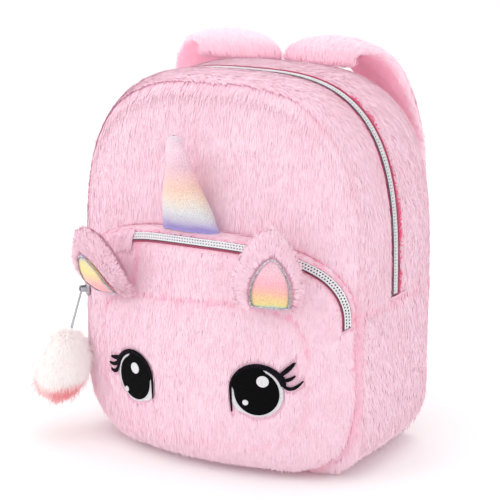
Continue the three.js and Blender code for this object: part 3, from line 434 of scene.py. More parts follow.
def fur(piece, surface, count, length, width, flow, seed, material=None, lift=0.15, wander=0.1,
        edges=(None, None), seams=((3, 0.5), (3, 0.5)), trim=(0, 0), avoid=None, shade=None, density=None,
        streak=(1, 1, 0.14), contrast=1.0, stray=0.05):
    """Grows tapering blades on a surface, of plush unless a material is given.

    flow(position, along, v) gives the combed direction. edges are the lowest and highest v that a tip may
    reach. seams says how far in mm and how deep the painted shade beside v = 0 and v = 1 goes, and trim how
    far in mm the pile is cropped there. shade(position, u) multiplies the tone, for painted shade or for a
    colour of the thing's own, density(positions) the number of blades, and avoid(position) is true where
    none may grow. streak stretches the tone's noise along the pile, stray is the share of loose hairs, and
    lift the rise of a tip as a share of its reach.
    """
    rng = np.random.default_rng(seed)
    place, normal, along, across, u, v = surface.scatter(count, rng, density)
    span = np.linalg.norm(across, axis=1)
    from_edge = (v * span, (1 - v) * span)
    way = flow(place, along, v)
    way = unit(way - np.sum(way * normal, 1, keepdims=True) * normal)
    side = np.cross(normal, way)
    turn = wander * (ripple(place, 34, seed + 1) + 0.5 * ripple(place, 9, seed + 2)
                     + 0.9 * rng.normal(size=count))
    way = way * np.cos(turn)[:, None] + side * np.sin(turn)[:, None]
    reach = length * rng.uniform(0.6, 1.25, count)
    for far, gone in zip(trim, from_edge):
        if far:
            reach *= lerp(0.35, 1, ease(0, far, gone))
    drift = np.sum(way * across, 1) / span**2
    for edge, sign in zip(edges, (-1, 1)):
        if edge is not None:
            room = np.maximum(sign * (edge - v), 0) / np.maximum(sign * drift, 1e-6)
            reach = np.where(sign * drift > 0, np.minimum(reach, room), reach)
    reach = np.maximum(reach, 0.18 * length)
    loose = rng.random(count) < stray
    height = reach * lift * rng.uniform(0.7, 1.25, count) * (1 + 0.2 * ripple(place, 12, seed + 3))
    height = np.where(loose, height * rng.uniform(1.8, 3.2, count), height)
    root = place - normal * ROOT_SUNK
    middle = root + way * (reach * 0.45)[:, None] + normal * (height * 0.75)[:, None]
    tip = root + way * reach[:, None] + normal * height[:, None]
    keep = ~(avoid(root) | avoid(middle) | avoid(tip)) if avoid else np.ones(count, bool)
    width = width * rng.uniform(0.6, 1.3, count) * np.where(loose, 0.55, 1.0)
    half = np.cross(way, normal) * (width / 2)[:, None]
    vertices = np.stack([root, middle - half, middle + half, tip], 1)[keep]
    floor = 0.1 + 0.1 * half[keep][:, None, 0]
    vertices[..., 2] = np.maximum(vertices[..., 2], floor)
    tone = 0.8 + contrast * (0.03 * ripple(place * streak, 2.6, seed + 4)
                             + 0.02 * ripple(place * streak, 7, seed + 5)
                             + 0.03 * ripple(place, 36, seed + 6) + 0.02 * rng.normal(size=count))
    # painted shade beside the seams
    for (far, deep), gone in zip(seams, from_edge):
        if far:
            ragged = np.maximum(gone + 0.3 * far * ripple(place, 6, seed + 7), 0)
            tone = tone * lerp(deep, 1, ease(0, far, ragged))
    # painted shade at folds and rims, or a colour of the thing's own
    if shade:
        tone = tone * shade(place, u)
    tone = np.clip(tone, 0, 1)[keep]
    lean = unit(normal + 0.05 * rng.normal(size=(count, 3)) - 0.1 * way)[keep]
    n = len(vertices)
    first = np.arange(n)[:, None] * 4
    faces = np.concatenate([first + [0, 2, 1], first + [1, 2, 3]])
    piece.add(vertices.reshape(-1, 3), faces, np.repeat(lean, 4, 0), material or plush,
              np.tile([0.0, 0.55, 0.55, 1.0], n), np.repeat(tone, 4))


def gap_to(place, line):
    """Distance in the front view from each place to the nearest point of a dense line."""
    flat = place[:, [0, 2]]
    return np.concatenate([np.sqrt(((part[:, None] - line[None]) ** 2).sum(-1).min(1))
                           for part in np.array_split(flat, max(1, len(flat) // 4000))])


def skin(piece, surface, material, depth=0.5):
    piece.add_surface(surface, material, depth, 0.3, 0.35)


# Materials
def srgb(r, g, b):
    """A colour given as seen, 0 to 255, as the shader's linear values."""
    c = np.array([r, g, b]) / 255
    linear = np.where(c <= 0.04045, c / 12.92, ((c + 0.055) / 1.055) ** 2.4)
    return (*map(float, linear), 1.0)


def dimmed(colour, share):
    return (*(share * c for c in colour[:3]), 1)


class Look:
    """A material with a Principled shader and short calls for its nodes."""

    def __init__(self, name, **sockets):
        self.material = bpy.data.materials.new(name)
        self.material.use_nodes = True
        self.tree = self.material.node_tree
        self.shader = self.tree.nodes["Principled BSDF"]
        for key, value in sockets.items():
            self.shader.inputs[key.replace("_", " ")].default_value = value

    def node(self, kind, **values):
        made = self.tree.nodes.new("ShaderNode" + kind)
        for key, value in values.items():
            if hasattr(made, key):
                setattr(made, key, value)
            else:
                made.inputs[key.replace("_", " ")].default_value = value
        return made

    def link(self, source, target):
        self.tree.links.new(source, target)

    def ramp(self, source, stops):
        made = self.node("ValToRGB")
        for i, (place, colour) in enumerate(stops):
            stop = made.color_ramp.elements[i] if i < 2 else made.color_ramp.elements.new(place)
            stop.position, stop.color = place, colour
        self.link(source, made.inputs["Fac"])
        return made.outputs["Color"]

    def feed(self, sockets, values):
        for socket, value in zip(sockets, values):
            if isinstance(value, (float, int, tuple)):
                socket.default_value = value
            else:
                self.link(value, socket)

    def mix(self, factor, a, b, blend="MIX"):
        made = self.node("Mix", data_type="RGBA", blend_type=blend)
        self.feed([made.inputs[i] for i in (0, 6, 7)], (factor, a, b))
        return made.outputs[2]

    def math(self, operation, *values):
        made = self.node("Math", operation=operation)
        self.feed(made.inputs, values)
        return made.outputs[0]

    def value(self, name):
        made = self.node("Attribute")
        made.attribute_name = name
        return made.outputs["Fac"]

    def noise(self, scale, detail, stretch=None):
        place = self.node("TexCoord").outputs["Object"]
        if stretch:
            mapping = self.node("Mapping")
            mapping.inputs["Scale"].default_value = stretch
            self.link(place, mapping.inputs["Vector"])
            place = mapping.outputs["Vector"]
        made = self.node("TexNoise", Scale=scale, Detail=detail, Roughness=0.55)
        self.link(place, made.inputs["Vector"])
        return made.outputs["Fac"]

    def bump(self, source, distance, strength=1.0):
        made = self.node("Bump", Strength=strength, Distance=distance)
        self.link(source, made.inputs["Height"])
        self.link(made.outputs["Normal"], self.shader.inputs["Normal"])

    def colour(self, source):
        self.link(source, self.shader.inputs["Base Color"])


def plush_look(name, root, low, high, tip, deep):
    """Pile: paler from root to tip, and deeper where the tone is low. It also glows as painted light that
    fills its shadows, in deep pink where the tone is low.
    """
    look = Look(name, Roughness=0.95, Sheen_Weight=0.12, Sheen_Roughness=0.5, Specular_IOR_Level=0.08,
                Emission_Strength=0.26)
    # painted light: the pile glows, deep pink where the tone is low, to lift its shadows
    painted_glow = look.ramp(look.value("tone"), [(0.0, dimmed(deep, 0.6)), (0.6, dimmed(high, 0.36))])
    look.link(painted_glow, look.shader.inputs["Emission Color"])
    look.shader.inputs["Sheen Tint"].default_value = srgb(255, 235, 242)
    strand = look.ramp(look.value("strand"), [(0.0, root), (0.35, low), (0.7, high), (1.0, tip)])
    depth = look.ramp(look.value("tone"), [(0.0, (1, 1, 1, 1)), (0.35, (0.42, 0.42, 0.42, 1)),
                                           (0.82, (0, 0, 0, 1))])
    mottle = look.ramp(look.noise(300, 2), [(0.3, (0.975, 0.96, 0.968, 1)), (0.7, (1, 1, 1, 1))])
    look.colour(look.mix(1.0, look.mix(depth, strand, deep), mottle, "MULTIPLY"))
    return look.material


def plush_skin_look(name, low, high):
    # painted light: the ground under the pile glows faintly in its pale colour
    look = Look(name, Roughness=0.95, Specular_IOR_Level=0.1, Emission_Strength=0.04)
    look.shader.inputs["Emission Color"].default_value = high
    streak = look.noise(420, 4, stretch=(1, 1, 0.22))
    look.colour(look.ramp(streak, [(0.3, low), (0.7, high)]))
    look.bump(streak, 0.0012)
    return look.material


plush = plush_look("plush", srgb(238, 194, 211), srgb(239, 203, 217), srgb(240, 209, 221),
                   srgb(243, 219, 228), srgb(232, 122, 162))
pompom_fur = plush_look("pompom fur", srgb(249, 240, 236), srgb(252, 246, 243), srgb(254, 250, 248),
                        srgb(255, 253, 252), srgb(232, 108, 116))
# a paler copy of the bag's plush for the straps: painted light, not another fabric
plush_painted_light = plush_look("plush pale", srgb(248, 200, 217), srgb(250, 214, 227), srgb(252, 222, 233),
                        srgb(254, 230, 239), srgb(240, 118, 160))
# crimson pile behind the main zipper: painted shade in the slit
plush_painted_crimson_shade = plush_look("plush crimson", srgb(206, 30, 84), srgb(222, 58, 108), srgb(236, 104, 144),
                           srgb(246, 158, 186), srgb(200, 16, 70))
plush_ground = plush_skin_look("plush ground", srgb(238, 188, 207), srgb(240, 202, 217))
pompom_ground = plush_skin_look("pompom ground", srgb(248, 238, 234), srgb(252, 246, 243))
# deep crimson for the turned-in lips beside the zippers: painted shade in the slits
painted_seam_shade = plush_skin_look("seam shade", srgb(222, 52, 104), srgb(240, 96, 142))


def satin_look(name, stops):
    look = Look(name, Roughness=0.34, Sheen_Weight=0.3, Specular_IOR_Level=0.7)
    look.shader.inputs["Coat Weight"].default_value = 0.15
    look.shader.inputs["Coat Roughness"].default_value = 0.3
    wash = look.noise(60, 3)
    shift = look.math("SUBTRACT", look.value("strand"), 0.06)
    up = look.math("MULTIPLY_ADD", wash, 0.12, shift)
    speck = look.noise(1500, 2)
    tint = look.ramp(speck, [(0.36, srgb(196, 176, 190)), (0.62, (1, 1, 1, 1))])
    look.colour(look.mix(0.55, look.ramp(up, stops), tint, "MULTIPLY"))
    look.bump(speck, 0.0005, 0.6)
    return look.material


def woven_look(name, low, high, scale=900):
    look = Look(name, Roughness=0.8, Sheen_Weight=0.3, Specular_IOR_Level=0.3)
    place = look.node("TexCoord").outputs["Object"]
    waves = []
    for direction in ("X", "Z"):
        wave = look.node("TexWave", wave_type="BANDS", bands_direction=direction, Scale=scale, Distortion=0.6)
        look.link(place, wave.inputs["Vector"])
        waves.append(wave.outputs["Fac"])
    both = look.math("MULTIPLY", *waves)
    look.colour(look.ramp(both, [(0.1, low), (0.8, high)]))
    look.bump(both, 0.0004)
    return look.material


def thread_look(name, low, high, roughness=0.5, stretch=(1, 1, 5), gloss=0.25):
    """Satin stitch: fine parallel threads."""
    look = Look(name, Roughness=roughness, Specular_IOR_Level=gloss)
    threads = look.noise(700, 2, stretch=stretch)
    look.colour(look.ramp(threads, [(0.35, low), (0.65, high)]))
    look.bump(threads, 0.0004, 0.7)
    return look.material


def metal_look(name, colour, roughness):
    look = Look(name, Metallic=1.0, Roughness=roughness)
    wear = look.noise(260, 4)
    look.colour(look.ramp(wear, [(0.3, dimmed(colour, 0.86)), (0.7, colour)]))
    look.bump(look.noise(1200, 2), 0.0001, 0.4)
    return look.material


horn_satin = satin_look("horn satin", [
    (0.0, srgb(158, 150, 220)), (0.05, srgb(190, 186, 226)), (0.11, srgb(212, 216, 230)),
    (0.2, srgb(226, 230, 230)), (0.28, srgb(236, 230, 218)), (0.37, srgb(247, 224, 202)),
    (0.47, srgb(246, 208, 188)), (0.57, srgb(247, 204, 202)), (0.7, srgb(238, 198, 212)),
    (0.85, srgb(252, 216, 228)), (1.0, srgb(226, 208, 222))])
ear_satin = {
    "right": satin_look("right ear satin", [
        (0.0, srgb(170, 152, 212)), (0.06, srgb(188, 214, 200)), (0.12, srgb(238, 224, 140)),
        (0.24, srgb(251, 212, 150)), (0.38, srgb(253, 190, 172)), (0.54, srgb(255, 184, 196)),
        (0.75, srgb(252, 202, 214)), (1.0, srgb(244, 196, 212))]),
    "left": satin_look("left ear satin", [
        (0.0, srgb(246, 140, 158)), (0.25, srgb(252, 164, 162)), (0.42, srgb(252, 196, 160)),
        (0.6, srgb(250, 226, 130)), (0.86, srgb(236, 228, 150)), (0.96, srgb(196, 188, 220)),
        (1.0, srgb(176, 160, 214))])}
# the tape's deep crimson is partly its own colour and partly painted shade in the slit
tape_cloth = woven_look("zipper tape", srgb(206, 48, 98), srgb(236, 104, 144))
web_cloth = woven_look("webbing", srgb(242, 168, 194), srgb(252, 204, 220), 1400)
eye_black = thread_look("eye black", srgb(3, 3, 4), srgb(12, 12, 13), 0.8, gloss=0.06)
eye_white = thread_look("eye white", srgb(206, 205, 210), srgb(232, 232, 234), 0.7)
lash_black = thread_look("lash black", srgb(6, 4, 9), srgb(26, 20, 32), 0.8, (1, 1, 1), 0.08)
silver_thread = thread_look("silver thread", srgb(168, 164, 176), srgb(232, 230, 238), 0.35, (1, 1, 1))
silver = metal_look("silver", srgb(176, 180, 186), 0.3)
coil_silver = thread_look("coil silver", srgb(222, 222, 226), srgb(248, 248, 250), 0.35, gloss=0.5)
coil_edge = thread_look("coil edge", srgb(226, 224, 228), srgb(248, 248, 250))
# dark band under the coil turns: painted shade that shows between them
painted_coil_gap_shade = thread_look("coil gap", srgb(62, 58, 66), srgb(104, 98, 108))
# dark line beside the zipper's front rail: painted shadow
painted_slit_shadow = thread_look("slit dark", srgb(84, 70, 80), srgb(120, 104, 114))


# Camera, floor and light
CAMERA = Sizes(azimuth=31.0, pitch=14.4, distance=1.2, aim=(0, 0, 0.141), focal_px=1625, frame_px=500,
               centre_px=257)
FLOOR = Sizes(reach=14, sunk=0.0004, colour=(0.99, 0.98, 0.98, 1))
SKY = Sizes(colour=(1, 1, 1, 1), strength=1.02)
LAMP_AIM = (0, 0, 0.12)
LAMPS = (("key", (-1.6, -1.6, 1.3), 1.8, 14), ("fill", (1.9, -1.6, 1.0), 1.6, 0.5),
         ("top", (0.1, 0.2, 2.1), 2.0, 8))  # place and size in metres, and power in watts


def make_camera():
    data = bpy.data.cameras.new("camera")
    camera = show("camera", data)
    a, e = math.radians(CAMERA.azimuth), math.radians(CAMERA.pitch)
    back = Vector((math.sin(a) * math.cos(e), -math.cos(a) * math.cos(e), math.sin(e)))
    camera.location = Vector(CAMERA.aim) + back * CAMERA.distance
    camera.rotation_mode = "QUATERNION"
    camera.rotation_quaternion = (-back).to_track_quat("-Z", "Y")
    data.sensor_width = 36
    data.lens = CAMERA.focal_px / CAMERA.frame_px * data.sensor_width
    data.shift_x = -(CAMERA.centre_px - CAMERA.frame_px / 2) / CAMERA.frame_px
    bpy.context.scene.camera = camera


def make_stage():
    reach = FLOOR.reach
    mesh = bpy.data.meshes.new("floor")
    mesh.from_pydata([(-reach, -reach, 0), (reach, -reach, 0), (reach, reach, 0), (-reach, reach, 0)], [],
                     [(0, 1, 2, 3)])
    floor = show("floor", mesh)
    floor.location.z = -FLOOR.sunk
    look = Look("floor", Roughness=0.9, Specular_IOR_Level=0.1)
    look.shader.inputs["Base Color"].default_value = FLOOR.colour
    mesh.materials.append(look.material)

    world = bpy.data.worlds.new("world")
    world.use_nodes = True
    background = world.node_tree.nodes["Background"]
    background.inputs["Color"].default_value = SKY.colour
    background.inputs["Strength"].default_value = SKY.strength
    bpy.context.scene.world = world
    for name, place, size, power in LAMPS:
        lamp = bpy.data.lights.new(name, "AREA")
        lamp.size, lamp.energy = size, power
        made = show(name, lamp)
        made.location = place
        made.rotation_mode = "QUATERNION"
        made.rotation_quaternion = (Vector(LAMP_AIM) - Vector(place)).to_track_quat("-Z", "Y")
    bpy.context.scene.view_settings.view_transform = "Standard"


make_camera()
make_stage()


# Main bag
NO_SEAMS = ((0, 1), (0, 1))
BAG_INSIDE = (0, 0, BAG.height / 2)
POCKET_INSIDE = (0, -40, 75)
ZIP_FRONT = MAIN_ZIP.y - MAIN_ZIP.slit / 2
ZIP_BACK = MAIN_ZIP.y + MAIN_ZIP.slit / 2
FRINGE = Sizes(width=3, top=262)  # the plush behind the main zipper, crimson as painted shade in the slit, in millimetres


def down(place, along, v):
    return np.tile([0.0, 0.0, -1.0], (len(place), 1))


def panel_flow(place, along, v):
    return down(place, along, v) + [[0.05, 0, 0]]


def gusset_flow(place, along, v):
    """One nap from end to end of the strip: over the top to the right and down."""
    nap = along * np.where(along[:, :1] + along[:, 2:3] * -np.sign(place[:, :1]) < 0, -1, 1)
    return nap + np.array([[0, 1.0, 0]]) * lerp(-0.7, 0.12, ease(0, 0.25, v))[:, None]


def lower_flow(place, along, v):
    """Down the sides, and back along the bottom."""
    flat = ease(30, 6, place[:, 2])[:, None]
    return lerp(np.array([[0, 0.2, -1.0]]), np.array([[0, 1.0, -0.2]]), flat)


def fringe_flow(place, along, v):
    """Away from the zipper, towards the back."""
    return np.array([[0, 1.0, 0]]) + 0.6 * along * np.sign(ripple(place, 9, 8))[:, None]


def seam_and_fold_shade(place, u):
    """Painted shade in the seams across below the zipper's ends, and in the fold before its upper right part.
    """
    seam = ease(0.5, 4, np.abs(place[:, 2] - BAG.arch_start + 0.8 * ripple(place, 8, 3)))
    off = place[:, 1] - ZIP_FRONT + 7 + 1.2 * ripple(place, 20, 6)
    fold = np.exp(-(off / 2) ** 2) * (place[:, 0] > 30) * ease(205, 225, place[:, 2])
    return lerp(0.68, 1, seam) * (1 - 0.5 * fold)


def dished_surface(ring, centre, y_of, inside, steps=30):
    """A panel inside an outline, with its depth from y_of. It closes almost at the centre."""
    share = np.linspace(1, 0.0005, steps) ** 0.8
    flat = centre + (ring - centre)[:, None, :] * share[None, :, None]
    y = y_of(flat[..., 0], flat[..., 1])
    return Surface(xyz(flat[..., 0], y, flat[..., 1]), inside, wrap=True)


def gusset_surface(stations, start_y, end_y, start_inset, end_inset, steps=22):
    """A strip of the bag's side from front to back. It bulges out between its inset edges."""
    share = np.linspace(0, 1, steps)
    inset = np.where(share < 0.5, start_inset, end_inset) * (2 * share - 1) ** 2
    rows = []
    for s, i in zip(share, inset):
        bottom = BAG.bottom_edge * ease(0.94, 1, abs(2 * s - 1))
        ring = bag_outline(i, bottom)[stations]
        rows.append(xyz(ring[:, 0], lerp(start_y, end_y, s), ring[:, 1]))
    return Surface(np.stack(rows, 1), BAG_INSIDE)


def lip(piece, surface, column, depth):
    """Turns the edge of a surface in, to show the thickness of its wall. It is deep crimson, painted shade in
    the slit beside a zipper.
    """
    edge, normal = surface.points[:, column], surface.normal[:, column]
    side = surface.across[:, column] * (1 if column == 0 else -1)
    rolls = []
    for s in np.linspace(0, 1, LIP.steps):
        roll = LIP.roll * math.sin(math.pi * min(s + 0.1, 1))
        rolls.append(edge - normal * (LIP.start + depth * s) - unit(side) * roll)
    rim = Surface(np.stack(rolls, 1), edge.mean(0) + side.mean(0))
    rim.normal = np.repeat(unit(-side)[:, None, :], LIP.steps, 1)
    piece.add_surface(rim, painted_seam_shade, tone=0.05)


def plush_piece(node, surface, fill, lip_at=None, lip_depth=4.5, skin_depth=0.5, more=None, **pile):
    """A padded plush piece: its skin, its lip where a zipper lies, its pile and what more adds."""
    piece = Piece("plush_" + node)
    skin(piece, surface, plush_ground, skin_depth)
    if lip_at is not None:
        lip(piece, surface, lip_at, lip_depth)
    fur(piece, surface, **pile)
    if more:
        more(piece)
    piece.build("bag", "plush", node)


def behind_pocket(place):
    """True where the pocket covers the front panel, so that no fur grows there."""
    x, z = np.abs(place[..., 0]), place[..., 2]
    half, top, start, power = POCKET.width / 2, POCKET.top, POCKET.arch_start, COVERED.power
    box = (x < half - COVERED.side) & (z < top - COVERED.top) & (z > COVERED.bottom)
    rise = np.maximum(z - start, 0) / (top - start - COVERED.arch_top)
    return box & ((x / (half - COVERED.arch_side)) ** power + rise**power < 1)


# Painted shade on the front panel's pile near the pocket's rim.
def shade_beside_pocket(place, u):
    return lerp(0.6, 1, ease(0.5, 8, gap_to(place, pocket_outline(0))))


def grow_fringe(piece):
    # crimson fur behind the main zipper, as painted shade in the slit
    surface = gusset_surface(ARCH_STATIONS, ZIP_BACK, ZIP_BACK + FRINGE.width, MAIN_ZIP.inset,
                             MAIN_ZIP.inset, 4)
    fur(piece, surface, 1500, 2.3, 0.6, fringe_flow, SEED + 50, plush_painted_crimson_shade, seams=NO_SEAMS, lift=0.14,
        density=lambda p: np.maximum(0.5 + ripple(p, 26, 4), 0.04) * (p[..., 2] < FRINGE.top))


def make_bag():
    plush_piece("front_panel", dished_surface(SEAM_RING, BAG_CENTRE, front_y, BAG_INSIDE), 0.6,
                count=64000, length=9.0, width=0.95, flow=panel_flow, seed=SEED, avoid=behind_pocket,
                shade=shade_beside_pocket, density=lambda p: np.where(behind_pocket(p), 0.02, 1.0),
                seams=((2.5, 0.86), (0, 1)), lift=0.085)
    plush_piece("back_panel", dished_surface(SEAM_RING, BAG_CENTRE, back_y, BAG_INSIDE), 0.6,
                count=36000, length=8.5, width=1.1, flow=panel_flow, seed=SEED + 20,
                seams=((3, 0.72), (0, 1)), lift=0.1)

    strip = dict(length=8.0, width=0.85, flow=gusset_flow, lift=0.1, streak=(0.5, 1.2, 0.5), shade=seam_and_fold_shade)
    surface = gusset_surface(ARCH_STATIONS, FRONT_SEAM_Y, ZIP_FRONT, BAG.seam_inset, MAIN_ZIP.inset)
    plush_piece("front_gusset", surface, 0.5, lip_at=-1, count=36000, seed=SEED + 36040, edges=(None, 0.985),
                seams=((2.5, 0.86), (6, 0.35)), trim=(0, 8), **strip)
    surface = gusset_surface(ARCH_STATIONS, ZIP_BACK, BACK_SEAM_Y, MAIN_ZIP.inset, BAG.seam_inset)
    plush_piece("back_gusset", surface, 0.5, lip_at=0, more=grow_fringe, count=37000, seed=SEED + 37040,
                edges=(0.03, None), seams=((7, 0.0), (3, 0.8)), trim=(8, 0), **strip)
    surface = gusset_surface(LOWER_STATIONS, FRONT_SEAM_Y, BACK_SEAM_Y, BAG.seam_inset, BAG.seam_inset)
    plush_piece("lower_gusset", surface, 0.5, count=36000, length=8.0, width=0.95, flow=lower_flow,
                seed=SEED + 60, seams=((3, 0.8), (3, 0.8)), lift=0.1, shade=seam_and_fold_shade,
                density=lambda p: np.where(p[..., 2] < 3, 0.35, 1.0))


# Zippers
def ribbon(piece, centre, side, up, half_width, thickness, material):
    """A flat band along centre points, with side and up directions at each."""
    low, high = centre - side * half_width, centre + side * half_width
    corner = np.stack([low, low + up * thickness, high + up * thickness, high], 1)
    ids = np.arange(len(centre) * 4).reshape(-1, 4)
    turned = np.roll(ids, -1, axis=1)
    quads = np.stack([ids[:-1], turned[:-1], turned[1:], ids[1:]], -1).transpose(1, 0, 2).reshape(-1, 4)
    normals = np.stack([unit(up - side)] * 2 + [unit(up + side)] * 2, 1)
    piece.add(corner.reshape(-1, 3), quads, normals.reshape(-1, 3), material)


def resample(points, pitch):
    """Points at an even pitch along a path, with the same steps for what goes with them."""
    length = np.concatenate([[0], np.cumsum(np.linalg.norm(np.diff(points[0], axis=0), axis=1))])
    at = np.arange(pitch / 2, length[-1], pitch)
    return [np.stack([np.interp(at, length, p[:, k]) for k in range(3)], 1) for p in points]


def coil_teeth(piece, centre, side, up, coil):
    """Two rows of small rounded coil turns on either side of the middle."""
    pitch, reach = coil.pitch, COIL.turn_reach * coil.wide
    c, s, n = resample([centre, side, up], pitch)
    s, n = unit(s), unit(n)
    forward = unit(np.gradient(c, axis=0))
    angles = np.linspace(0, np.pi, 5)
    around = np.stack([forward * np.cos(a) + n * np.sin(a) for a in angles], 1)
    for row in (-1, 1):
        start = c + forward * (pitch / 4 * row * coil.stagger)
        rings = []
        for share, size in COIL.turn:
            middle = start + s * (row * reach * share)
            half = pitch * coil.fill / 2 * size
            rings.append(np.stack([middle + forward * (np.cos(a) * half) + n * (np.sin(a) * size)
                                   for a in angles], 1))
        grid = np.stack(rings, 1)
        count, rows, columns = grid.shape[:3]
        first = np.arange(count)[:, None, None] * rows * columns
        quads = (grid_quads(rows, columns)[None] + first).reshape(-1, 4)
        normals = np.broadcast_to(around[:, None], grid.shape)
        piece.add(grid.reshape(-1, 3), quads, normals.reshape(-1, 3), coil_silver)


def make_zipper(name, path, side, inside, slit, coil):
    """Coil, rails and tape along a slit. The rail towards -side, in front, has a dark line of painted shadow
    beside it.
    """
    up = unit(np.cross(np.gradient(path, axis=0), side))
    if np.sum(up * (path - inside)) < 0:
        up = -up
    tape, teeth = Piece(name + "_woven_tape"), Piece(name + "_coil")
    wide = coil.wide
    rail = COIL.rail_at * wide
    # where the dark line of painted shadow lies, across
    dark = COIL.edge_at * wide + 0.75
    across, half, rise = coil.bare
    for piece, offset, sunk, half_width, height, material in (
            (tape, 0, 1.6, slit / 2 + 0.6, 0.8, tape_cloth),
            # a dark band under the coil: painted shade between its turns
            (teeth, 0, 0.8, COIL.gap_half * wide, 0.8, painted_coil_gap_shade),
            (teeth, 0, 0.2, coil.middle, 1.1, coil_edge),
            (teeth, -rail, 0.5, *coil.rail, coil_edge),
            (teeth, rail, 0.5, *coil.rail, coil_edge),
            (teeth, -dark, 0.6, 0.4, 0.9, painted_slit_shadow),
            # the strip of bare tape beside the coil: its crimson line is partly painted shade in the slit
            (tape, across, 0.8, half, rise, tape_cloth)):
        ribbon(piece, path + side * offset - up * sunk, side, up, half_width, height, material)
    coil_teeth(teeth, path - up * 0.1, side, up, coil)
    tape.build("bag", "zipper_tape", name + "_tape")
    teeth.build("bag", "zipper_metal", name + "_teeth")


def make_zippers():
    ring = bag_outline(MAIN_ZIP.inset + MAIN_ZIP.recess - MAIN_COIL.rise, 0)[ARCH_STATIONS]
    centre = xyz(ring[:, 0], MAIN_ZIP.y, ring[:, 1])
    path = resample([centre], COIL.path_step)[0]
    side = np.tile([0.0, 1.0, 0.0], (len(path), 1))
    make_zipper("main_zipper", path, side, BAG_INSIDE, MAIN_ZIP.slit, MAIN_COIL)

    shares = np.full((len(ARCH_STATIONS), 1), POCKET_ZIP.share)
    centre = wall_points(ARCH_STATIONS, shares, POCKET_ZIP.recess - POCKET_COIL.rise)[:, 0]
    ends = beside_zip(ARCH_STATIONS)
    path, side = resample([centre, unit(ends[:, 1] - ends[:, 0])], COIL.path_step)
    make_zipper("pocket_zipper", path, -unit(side), POCKET_INSIDE, POCKET_ZIP.slit, POCKET_COIL)


# Eyes, as stitched on the pocket's face
def eye_centre(sign):
    back = EYE.left_back if sign < 0 else 0
    return tilted([sign * EYE.spread + EYE.shift - back, EYE.up])


def lid_width(t):
    """Width of the lid line from its outer end, t = 0, to its inner end."""
    return np.interp(t, *LID_WIDTH)


def lid_point(sign, degrees):
    a = np.radians(degrees)
    start, end = LID[sign]
    width = lid_width((np.asarray(degrees) - start) / (end - start))
    half_w = EYE.width / 2 + LID_GAP + width / 2
    half_h = EYE.height / 2 + LID_GAP + width / 2
    c = eye_centre(sign)
    across = np.where(np.asarray(degrees) > 180, -1, np.cos(a))
    return np.stack([c[0] + sign * half_w * across, c[1] + half_h * np.sin(a)], -1)


def lash_path(sign, lash, steps=16):
    start = lid_point(sign, lash[0])
    bend, tip = (eye_centre(sign) + [sign * across * EYE.width / 2, up * EYE.height / 2]
                 for across, up in (lash[1:3], lash[3:5]))
    t = np.linspace(0, 1, steps)[:, None]
    return (1 - t) ** 2 * start + 2 * t * (1 - t) * bend + t**2 * tip


STITCHED = np.concatenate([
    line for sign in (-1, 1)
    for line in (lid_point(sign, np.linspace(*LID[sign], 40)),
                 *(lash_path(sign, row) for row in LASHES[sign]))])


def stitched(place):
    """True where the embroidery lies, so that no fur covers it."""
    hit = np.zeros(len(place), bool)
    for sign in (-1, 1):
        c = eye_centre(sign)
        hit |= (((place[:, 0] - c[0]) / (EYE.width / 2 + 0.8)) ** 2
                + ((place[:, 2] - c[1]) / (EYE.height / 2 + 0.8)) ** 2) < 1
    some = np.where(np.abs(place[:, 2] - EYE.up) < EYE.height)[0]
    flat = place[some][:, [0, 2]]
    for point in STITCHED:
        hit[some[np.sum((flat - point) ** 2, 1) < STITCH_MARGIN**2]] = True
    return hit


def stitched_disc(kind, side, slot, centre, half_width, half_height, material, layer, swell=1.0,
                  rings=14, count=96):
    """A raised disc with a rounded edge. swell scales its radius, angle by angle."""
    lift, thick = EYE_LAYERS[layer]
    angle = np.linspace(0, 2 * np.pi, count, endpoint=False)
    half_width, half_height = half_width * swell, half_height * swell
    rows = []
    inner = [(s, 1.0) for s in np.linspace(0.95, 0.001, rings)]
    for share, height in [(1.0, 0.0), (1.0, 0.6), (0.985, 0.9)] + inner:
        x = centre[0] + half_width * share * np.cos(angle)
        z = centre[1] + half_height * share * np.sin(angle)
        rows.append(xyz(x, face_y(x, z) - lift - thick * height, z))
    disc = Piece(f"{kind}_stitching_{side}")
    disc.add_surface(Surface(np.stack(rows, 1), (centre[0], -40, centre[1]), wrap=True), material)
    disc.build("bag", slot, f"{kind}_{side}")


def stroke(piece, path, widths):
    """A raised stitched line with a rounded top."""
    lift, thick = EYE_LAYERS["line"]
    along = unit(np.gradient(path, axis=0))
    side = np.stack([-along[:, 1], along[:, 0]], 1)
    rows = []
    for a in np.linspace(0, np.pi, 7):
        flat = path + side * (np.cos(a) * widths / 2)[:, None]
        y = face_y(flat[:, 0], flat[:, 1]) - lift - thick * math.sin(a) * np.minimum(widths / 1.2, 1)
        rows.append(xyz(flat[:, 0], y, flat[:, 1]))
    inside = (path[:, 0].mean(), -40, path[:, 1].mean())
    piece.add_surface(Surface(np.stack(rows, 1), inside), lash_black)


